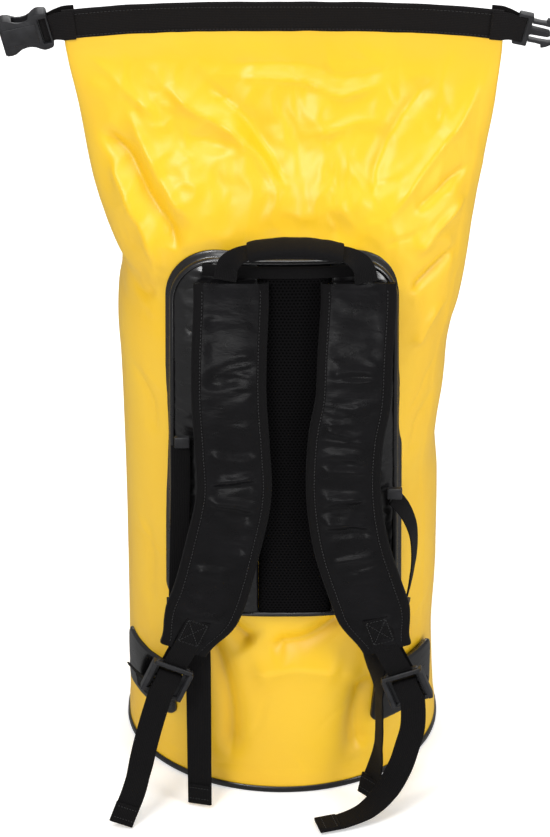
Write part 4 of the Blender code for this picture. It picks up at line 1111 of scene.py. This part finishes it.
def make_piping():
    """Corded edge: a round cord under a wrapped tape, on a flat flange welded to the bag."""
    points, out = panel_outline(0.0030)
    shapes = {
        "panel_piping_cord": [(-0.0018 + 0.0026 * math.cos(a), 0.0082 + 0.0030 * math.sin(a))
                              for a in np.linspace(0, 2 * math.pi, 13)[:-1]],
        "panel_flange": [(-0.0035, 0.0008), (0.0040, 0.0006), (0.0046, 0.0011), (0.0040, 0.0017),
                         (0.0016, 0.0026), (0.0010, 0.0060), (-0.0030, 0.0065)],
    }
    for name, section in shapes.items():
        rows = []
        for (px, pz), (ox, oz) in zip(points, out):
            ring = []
            for reach, offset in section:
                x, z = px + ox * reach, pz + oz * reach
                ring.append((x, float(front_y(x, z, offset)), z))
            rows.append(ring)
        obj = loft(name, rows, BLACK, closed_ring=True)
        nodes = ["panel_piping"] if name == "panel_flange" else []
        assign(obj, "black_coated_fabric", "bag", *nodes)


def make_yoke():
    """Tape over the straps' upper ends, along the top of the panel."""
    section = [(-0.0150, 0.0125), (-0.0142, 0.0142), (-0.0052, 0.0146), (-0.0040, 0.0142),
               (-0.0034, 0.0122), (-0.0048, 0.0100), (-0.0138, 0.0100)]
    rows = [[(a, float(front_y(a, PANEL_HIGH + z, offset)), PANEL_HIGH + z)
             for z, offset in section] for a in np.linspace(-0.078, 0.084, 80)]
    yoke = loft("yoke_tape", rows, BINDING, sharp=50)
    assign(yoke, "black_webbing", "bag", "strap_yoke")


# ---------------------------------------------------------------- haul handle
HANDLE_TAPE = 0.0225, 0.0017    # width and thickness
GRIP_SPAN = 0.24, 0.76          # where on the handle the grip starts and ends
GRIP_HALF = 0.0150, 0.0060      # half width and half thickness


def make_handle():
    """Webbing loop above the panel with a padded grip round its middle."""
    route = even_route(HANDLE_ROUTE, 0.002)
    turns = np.radians(spread(HANDLE_SPIN, len(route)))
    hints = np.stack([np.cos(turns), -np.sin(turns), np.zeros(len(route))], axis=1)
    tape = sweep("handle_webbing", route, hints, tape_section(*HANDLE_TAPE), WEBBING)
    assign(tape, "black_webbing", "handle", "haul_handle")
    first, last = (int(len(route) * share) for share in GRIP_SPAN)
    span, span_hints = route[first:last], hints[first:last]
    count = 20
    sections = []
    for i in range(len(span)):
        place = i / (len(span) - 1)
        swell = 0.86 + 0.14 * math.sin(math.pi * place) ** 0.5
        ring = []
        for k in range(count):
            angle = 2 * math.pi * k / count
            c, s = math.cos(angle), math.sin(angle)
            wrinkle = 1 + 0.05 * noise.noise(Vector((span[i][0] / 0.008, c * 2, s * 2)))
            ring.append((math.copysign(abs(c) ** 0.7, c) * GRIP_HALF[0] * swell * wrinkle,
                         math.copysign(abs(s) ** 0.7, s) * GRIP_HALF[1] * swell * wrinkle))
        sections.append(ring)
    grip = sweep("padded_grip", span, span_hints, np.array(sections), BINDING, sharp=60)
    assign(grip, "black_webbing", "handle", "handle_grip", fill=0.6)


# ---------------------------------------------------------------- stitching
def stitches(name, points, normals, pitch):
    """A row of short threads lying on a surface along points."""
    points, normals = np.asarray(points, float), unit(np.asarray(normals, float))
    run = run_along(points)
    count = max(int(run[-1] / pitch), 1)
    verts, faces = [], []
    for i in range(count):
        ends = (i + 0.5 + np.array([-0.5, -0.32, 0.32, 0.5]) * STITCH_LENGTH) * run[-1] / count
        places = np.stack([np.interp(ends, run, points[:, k]) for k in range(3)], axis=1)
        up = unit(np.array([np.interp(ends[1], run, normals[:, k]) for k in range(3)]))
        side = unit(np.cross(up, places[3] - places[0]))
        start = len(verts)
        for place, size, sink in zip(places, (0.35, 1.0, 1.0, 0.35), (-0.9, 0.25, 0.25, -0.9)):
            for k in range(6):
                angle = math.pi * k / 3
                verts.append(place + up * THREAD_RADIUS * (sink + size * math.sin(angle))
                             + side * THREAD_RADIUS * size * math.cos(angle))
        for ring in range(3):
            for k in range(6):
                m = (k + 1) % 6
                low, high = start + ring * 6, start + ring * 6 + 6
                faces.append((low + k, low + m, high + m, high + k))
        faces.append(tuple(start + k for k in range(6))[::-1])
        faces.append(tuple(start + 18 + k for k in range(6)))
    return turn_outward(add_mesh(name, verts, faces, THREAD))


# ---------------------------------------------------------------- shoulder straps
def strap_frames(side):
    """A shoulder strap's middle line, with its width and face directions."""
    route = even_route(SHOULDER_ROUTES[side], 0.0022)
    across, normal = frames_along(route, (1.0, 0.0, 0.0))
    return route, across, normal


def strap_half(run):
    """Half width of a strap along its run: it narrows toward the ladder lock."""
    left = (run[-1] - run) / 0.055
    return STRAP_WIDTH / 2 * (1 - 0.34 * smooth_step(0, 1, 1 - left) ** 1.3)


def make_shoulder_strap(side):
    """Padded strap: wrinkled coated face, mesh back, tape binding sewn round both edges."""
    route, across, normal = strap_frames(side)
    seed = 20 if side == "left" else 31
    run = run_along(route)
    half = STRAP_WIDTH / 2 - 0.0015
    s = np.linspace(-half, half, 44)
    narrow = (strap_half(run) - 0.0015) / half
    spot = np.stack(np.meshgrid(run, s, indexing="ij"), axis=-1).reshape(-1, 2)
    flat = np.stack([spot[:, 1] * 0.55, spot[:, 0] * 0, spot[:, 0] * 1.25], axis=1)
    shape = (len(run), len(s))
    level = np.stack([spot[:, 1] * 0.30, spot[:, 0] * 0, spot[:, 0] * 1.1], axis=1)
    level += 0.006 * lumps(flat, 0.05, seed + 5)[:, None]
    local = smooth_step(-0.15, 0.45, lumps(flat, 0.06, seed + 3)).reshape(shape)
    sharp = (creases(level, 0.032, seed) - 0.45).reshape(shape)
    wrinkle = 2.4 * sharp * local + 0.55 * lumps(flat, 0.034, seed + 1, 2).reshape(shape)
    for share, slant in STRAP_CREASES[side]:
        along = run[:, None] - share * run[-1] + slant * s[None, :]
        along = along + 0.004 * lumps(flat, 0.03, seed + 7).reshape(shape)
        wrinkle += 1.3 * np.exp(-((along / 0.0045) ** 2))
        wrinkle -= 1.1 * np.exp(-(((along - 0.0095) / 0.0060) ** 2))
    inside = smooth_step(0.0, 0.012, half - 0.008 - np.abs(s))[None, :]
    dome = np.sqrt(np.clip(1 - (np.abs(s) / half) ** 4, 0, 1))[None, :]
    front = 0.0027 + 0.0017 * dome + 0.0019 * wrinkle * inside
    back = -0.0030 - 0.0012 * dome + np.zeros(shape)
    level_at = route[:, None] + across[:, None] * (s * narrow[:, None])[..., None]
    fore, rear = (level_at + normal[:, None] * off[..., None] for off in (front, back))
    face = closed_slab(side + "_strap_face_cover", fore, rear + (fore - rear) * 0.25, BLACK_STRAP)
    pad = closed_slab(side + "_strap_mesh_back", rear + (fore - rear) * 0.24, rear, MESH)
    strap = side + "_strap"
    assign(face, "black_coated_fabric", strap, strap + "_face", strap + "_foam", fill=0.6)
    assign(pad, "spacer_mesh", strap, strap + "_back", fill=0.6)
    make_binding(side, route, run)
    make_strap_end(side, route, across, normal)


def closed_slab(name, fore, rear, mat):
    """A closed skin from two matching grids of points."""
    ring = np.concatenate([fore, rear[:, ::-1]], axis=1)
    sides = np.linalg.norm(np.diff(ring[len(ring) // 2], axis=0), axis=1)
    across = np.concatenate([[0.0], np.cumsum(sides), [np.sum(sides) + 0.003]])
    return loft(name, ring, mat, across=across, sharp=60)


# the folded tape's section: reach from the strap's edge and height over its middle plane
BINDING_SECTION = [(-0.0098, 0.0041), (-0.0050, 0.0043), (-0.0016, 0.0040), (0.0, 0.0024),
                   (0.0, -0.0020), (-0.0016, -0.0036), (-0.0050, -0.0040),
                   (-0.0098, -0.0041), (-0.0100, -0.0026), (-0.0100, 0.0026)]


def make_binding(side, route, run):
    """Tape folded round each edge, with its two rows of stitches."""
    outward = -1 if side == "left" else 1
    half = STRAP_WIDTH / 2
    across, normal = frames_along(route, (1.0, 0.0, 0.0))
    for name, sign in (("outer", outward), ("inner", -outward)):
        section = [(sign * (half + reach), depth) for reach, depth in BINDING_SECTION][::sign]
        sections = np.repeat(np.array(section)[None], len(route), axis=0)
        sections[..., 0] += sign * (strap_half(run) - half)[:, None]
        tape = sweep(f"{side}_{name}_tape", route, (1.0, 0.0, 0.0), sections, BINDING, sharp=70)
        assign(tape, "black_webbing", side + "_strap", f"{side}_strap_{name}_binding")
        line = route + across * sign * (strap_half(run) - 0.0083)[:, None] + normal * 0.0044
        row = stitches(f"{side}_{name}_stitches", line[3:-3], normal[3:-3], 0.0036)
        assign(row, "black_webbing", side + "_strap")


def make_strap_end(side, route, across, normal):
    """Webbing panel sewn to the strap's lower end, then round the ladder lock's top bar."""
    end, up = route[-1], unit(route[-14] - route[-1])
    width_at = across[-1]
    out = normal[-1] if normal[-1][1] < 0 else -normal[-1]
    arm = 0.0042    # the tape's distance from the lock's middle plane
    top = end + up * 0.042 + out * 0.0056
    path = [top, end + up * 0.022 + out * 0.0057, end + up * 0.004 + out * 0.0056,
            lock_point(side, -arm, 0.0170)]
    for i in range(1, 6):
        turn = math.pi * i / 6
        path.append(lock_point(side, -arm * math.cos(turn), 0.0160 - 0.0048 * math.sin(turn)))
    path += [lock_point(side, arm, 0.0170), end + up * 0.004 - out * 0.0052,
             end + up * 0.018 - out * 0.0055]
    hints = np.array([width_at] * 3 + [lock_width(side)] * 7 + [width_at] * 2)
    tape = webbing(side + "_end_tape", path, hints, WEBBING_WIDTH, WEBBING, 0.0013, 0.0015)
    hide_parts(side + "_end_webbing")
    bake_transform(tape)
    rows = []
    lift = out * 0.0066
    corners = ((-0.0100, 0.039), (0.0100, 0.039), (0.0100, 0.012), (-0.0100, 0.012))
    for first, last in ((0, 1), (1, 2), (2, 3), (3, 0), (0, 2), (1, 3)):
        a, b = corners[first], corners[last]
        line = [end + width_at * (a[0] + (b[0] - a[0]) * t) + up * (a[1] + (b[1] - a[1]) * t) + lift
                for t in np.linspace(0, 1, 8)]
        rows.append(stitches("row", line, [out] * 8, 0.0030))
    box_stitch = join(side + "_box_stitch", rows, THREAD)
    assign(box_stitch, "black_webbing", side + "_strap")


# ---------------------------------------------------------------- ladder locks and tails
def lock_frame(side):
    """A ladder lock's own frame: X along its bars, Z up its length."""
    place, lean = LOCK_PLACES[side]
    return Matrix.Translation(place) @ Matrix.Rotation(lean, 4, "Y")


def lock_point(side, depth, height):
    """A point on the lock's middle plane: depth away from the wearer, height up its frame."""
    return np.array(lock_frame(side) @ Vector((0.0, depth, height)))


def lock_width(side):
    """The direction of the lock's bars."""
    return np.array(lock_frame(side).to_3x3() @ Vector((1.0, 0.0, 0.0)))


def make_ladder_lock(side):
    """Moulded adjuster: rounded rails, a round top bar, gripping middle bars and a flared foot."""
    straight = LOCK_HALF - LOCK_CORNER
    outline = []
    for cx, cz, start in ((1, -1, -90), (1, 1, 0), (-1, 1, 90), (-1, -1, 180)):
        for i in range(7):
            angle = math.radians(start + 15 * i)
            outline.append((cx * straight + LOCK_CORNER * math.cos(angle),
                            cz * straight + LOCK_CORNER * math.sin(angle)))
    slots = [((-0.0128, -0.01, 0.0065), (0.0128, 0.01, 0.0139)),
             ((-0.0128, -0.01, -0.0045), (0.0128, 0.01, 0.0028)),
             ((-0.0128, -0.01, -0.0140), (0.0128, 0.01, -0.0073))]
    body = plate(side + "_lock_frame", outline, LOCK_THICK, PLASTIC, 0.0009, holes=slots)
    rails = (("left_rail", (-0.0212, -0.0092, -0.0165), (-0.0166, 0.0020, 0.0172), 0.0011),
             ("right_rail", (0.0166, -0.0092, -0.0165), (0.0212, 0.0020, 0.0172), 0.0011),
             ("hood", (-0.0196, -0.0092, 0.0160), (0.0196, -0.0068, 0.0208), 0.0011),
             ("foot", (-0.0180, -0.0040, -0.0192), (0.0180, 0.0020, -0.0148), 0.0012))
    lock = join(side + "_lock", [body] + [rounded_box(*rail, PLASTIC) for rail in rails], PLASTIC)
    lock.data.transform(lock_frame(side))
    lock.data.set_sharp_from_angle(angle=math.radians(50))
    assign(lock, "buckle_plastic", side + "_lock", side + "_ladder_lock")


def make_tail(side):
    """Webbing woven over the lock's middle bar and left hanging."""
    weave = [lock_point(side, y, z) for y, z in TAIL_WEAVE]
    later = turned(TAIL_TURNS[side], len(TAIL_ROUTES[side]))
    hints = np.vstack([[lock_width(side)] * len(weave), later])
    tail = webbing(side + "_tail_tape", weave + TAIL_ROUTES[side], hints, WEBBING_WIDTH, WEBBING,
                   step=0.002, waviness=0.0006, seed=3)
    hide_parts(side + "_webbing_tail")
    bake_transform(tail)
    add_hem(side + "_tail_hem", TAIL_ROUTES[side][-2:], later[-1], WEBBING_WIDTH, side + "_tail")


def add_hem(name, last_two, hint, width, body):
    """The folded and sewn end of a length of webbing."""
    before, end = (np.array(p, float) for p in last_two)
    back = unit(before - end)
    route = np.array([end + back * d for d in np.linspace(-0.0008, 0.020, 12)])
    hem = sweep(name, route, hint, tape_section(width + 0.0002, HEM_THICK), WEBBING)
    assign(hem, "black_webbing", body)
    side, normal = frames_along(route, hint)
    rows = []
    for place in (3, 9):
        for face in (-1, 1):
            line = [route[place] + side[place] * s + normal[place] * face * 0.0021
                    for s in np.linspace(-width * 0.42, width * 0.42, 10)]
            rows.append(stitches("row", line, [normal[place] * face] * 10, 0.0028))
    thread_rows = join(name + "_stitches", rows, THREAD)
    assign(thread_rows, "black_webbing", body)


# ---------------------------------------------------------------- anchors and waist straps
def tube_point(angle, z, offset):
    """Point on the CAD tube at a compass angle from -Y, moved outward."""
    depth, near, far = (v[0] for v in half_depth([z]))
    width = read_table(CAD_WIDTH, [z])[0][0]
    c, s = math.sin(angle), -math.cos(angle)
    power = 2.0 / (near if s < 0.0 else far)
    return np.array([math.copysign(abs(c) ** power, c) * (width + offset),
                     math.copysign(abs(s) ** power, s) * (depth + offset), z])


def make_anchor(side):
    """The patch low on the bag and the webbing that holds the ladder lock to it."""
    at = ANCHOR_ANGLES[side]
    rows, columns = 36, 44
    low, high = ANCHOR_LOW, ANCHOR_HIGH
    fore, rear = np.zeros((rows, columns, 3)), np.zeros((rows, columns, 3))
    for i in range(rows):
        share = -math.cos(math.pi * i / (rows - 1))
        z = (low + high) / 2 + (high - low) / 2 * share
        beyond = max(abs(share) - 0.62, 0.0)
        width = 1.0 - 0.30 * (1 - math.sqrt(max(1 - beyond**2 / 0.1444, 0.0)))
        for j in range(columns):
            t = -math.cos(math.pi * j / (columns - 1))
            angle = at + ANCHOR_SPAN * width * t
            lump = 0.0004 * noise.noise(Vector((angle * 6, z * 40, at)))
            edge = min(1.0, (1 - abs(t)) * 14, (1 - abs(share)) * 14)
            fore[i, j] = tube_point(angle, z, 0.0012 + 0.0014 * edge + lump)
            rear[i, j] = tube_point(angle, z, -0.0010)
    patch = closed_slab(side + "_patch", fore, rear, BLACK)
    assign(patch, "black_coated_fabric", "bag", side + "_anchor_patch")
    foot = tube_point(at, 0.080, 0.0036)
    mid = tube_point(at, 0.096, 0.0052)
    rise = tube_point(at, 0.108, 0.0110)
    meet = lock_point(side, 0.0115, -0.0200)
    end = lock_point(side, 0.0050, -0.0060)
    flat = np.array([math.cos(at), math.sin(at), 0.0])
    hints = np.array([flat + (lock_width(side) - flat) * t for t in (0.0, 0.0, 0.25, 0.8, 1.0)])
    points = [foot, mid, rise, meet, end]
    tape = webbing(side + "_anchor_tape", points, hints, WEBBING_WIDTH, WEBBING)
    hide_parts(side + "_anchor_webbing")
    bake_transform(tape)


def make_waist_strap(side):
    """One half of the waist strap, with its hem, and the root sewn under the panel."""
    points = WAIST_ROUTES[side]
    hints = turned(WAIST_TURNS[side], 4)
    tape = webbing(side + "_waist_tape", points, hints, WEBBING_WIDTH, WEBBING,
                   step=0.0025, waviness=0.0005, seed=9)
    assign(tape, "black_webbing", side + "_waist", side + "_waist_strap")
    add_hem(side + "_waist_hem", points[-2:], hints[-1], WEBBING_WIDTH, side + "_waist")
    top = np.array(points[0])
    x = top[0]
    slope = float(front_y(x + 0.01, 0.2) - front_y(x - 0.01, 0.2)) / 0.02
    root = [(x, float(front_y(x, 0.206, 0.0026)), 0.206),
            (x, float(front_y(x, 0.193, 0.0070)), 0.193),
            (x, top[1] + 0.0042, 0.183), (x, top[1] + 0.0038, top[2] + 0.0010)]
    hints = np.array([(1.0, lean, 0.0) for lean in (slope, slope, slope / 2, 0.0)])
    tape = webbing(side + "_waist_root_tape", root, hints, WEBBING_WIDTH, WEBBING)
    assign(tape, "black_webbing", "bag", side + "_waist_root")


# ---------------------------------------------------------------- sternum strap halves
def sternum_hints(side, count):
    """Width directions of one sternum strap: the left hangs flat, the right is turned."""
    if side == "left":
        return np.tile((1.0, 0.0, 0.0), (count, 1))
    start, end = np.array((0.5, 1.0, 0.6)), np.array((0.15, 1.0, -0.1))
    return np.array([start + (end - start) * i / (count - 1) for i in range(count)])


def make_sternum(side):
    """One half of the sternum strap and the slider that holds it to the shoulder strap."""
    points = STERNUM_ROUTES[side]
    tape = webbing(side + "_sternum_tape", points, sternum_hints(side, len(points)), STERNUM_WIDTH,
                   WEBBING, 0.0014, 0.002, 0.0005, 14)
    assign(tape, "black_webbing", side + "_sternum", side + "_sternum_webbing")
    low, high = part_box(side + "_sternum_slider")
    body = rounded_box(side + "_slider_body", low, high, 0.0014, PLASTIC)
    assign(body, "buckle_plastic", side + "_slider", side + "_sternum_slider")


def finish_cad_node(name, mat):
    """A CAD node whose shape stays gets the right material."""
    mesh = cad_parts[name].data
    mesh.materials.clear()
    mesh.materials.append(mat)


# ---------------------------------------------------------------- stage
# name, place, size in metres, power in watts
LAMPS = [
    ("key", (-1.6, -2.4, 3.2), 1.2, 70.0),
    ("low front", (-0.5, -3.0, 0.15), 0.8, 5.0),
    ("fill", (2.6, -1.9, 1.6), 1.2, 40.0),
    ("top", (0.2, -0.2, 3.4), 2.0, 46.0),
    ("rear", (0.3, 2.8, 2.0), 2.4, 42.0),
]
LAMPS_AIM = 0.4    # height that the lamps point at
FLOOR_GLOW, WORLD_LIGHT = 0.34, 0.24
CAMERA_ELEVATION = math.radians(34.0)
CAMERA_TARGET = Vector((-0.0075, 0.0, 0.3463))
LENS, SENSOR = 900.0, 36.0    # millimetres
VIEW_HEIGHT = 0.8175          # metres that the frame's longer side takes in at the target


def make_stage():
    """Plain pale floor, even world light and soft lamps."""
    floor_mat = Nodes("floor_white", 0.6, specular=0.2)
    floor_mat.colour((0.95, 0.95, 0.95, 1.0))
    floor_mat.shader.inputs["Emission Color"].default_value = (1.0, 1.0, 1.0, 1.0)
    floor_mat.shader.inputs["Emission Strength"].default_value = FLOOR_GLOW
    work = bmesh.new()
    bmesh.ops.create_grid(work, x_segments=1, y_segments=1, size=14.0)
    floor = new_object("floor", mesh_from(work, "floor"), floor_mat.mat)
    floor.location = (0, 0, -0.0004)
    floor.visible_glossy = False
    world = bpy.data.worlds.new("studio")
    world.use_nodes = True
    background = world.node_tree.nodes["Background"]
    background.inputs["Color"].default_value = (1.0, 1.0, 1.0, 1.0)
    background.inputs["Strength"].default_value = WORLD_LIGHT
    bpy.context.scene.world = world
    bpy.context.scene.view_settings.view_transform = "Standard"
    for name, place, size, power in LAMPS:
        lamp = bpy.data.lights.new(name, "AREA")
        lamp.size = size
        lamp.energy = power
        obj = new_object(name, lamp)
        obj.location = place
        aim = Vector((0, 0, LAMPS_AIM)) - Vector(place)
        obj.rotation_euler = aim.to_track_quat("-Z", "Y").to_euler()


def make_camera():
    """A very long lens on the harness side, looking down at the bag."""
    camera = bpy.data.cameras.new("camera")
    camera.lens = LENS
    camera.sensor_width = SENSOR
    camera.clip_end = 60.0
    obj = new_object("camera", camera)
    away = Vector((0.0, -math.cos(CAMERA_ELEVATION), math.sin(CAMERA_ELEVATION)))
    obj.location = CAMERA_TARGET + away * (VIEW_HEIGHT * LENS / SENSOR)
    obj.rotation_euler = (-away).to_track_quat("-Z", "Y").to_euler()
    bpy.context.scene.camera = obj


def main():
    """Build every piece."""
    make_camera()
    make_stage()
    make_bag_fabric()
    make_base()
    make_closure()
    make_back_panel()
    make_handle()
    for side in ("left", "right"):
        make_shoulder_strap(side)
        make_ladder_lock(side)
        make_tail(side)
        make_anchor(side)
        make_waist_strap(side)
        make_sternum(side)
    finish_cad_node("sternum_female_buckle", PLASTIC)
    finish_cad_node("sternum_male_buckle", PLASTIC)


main()
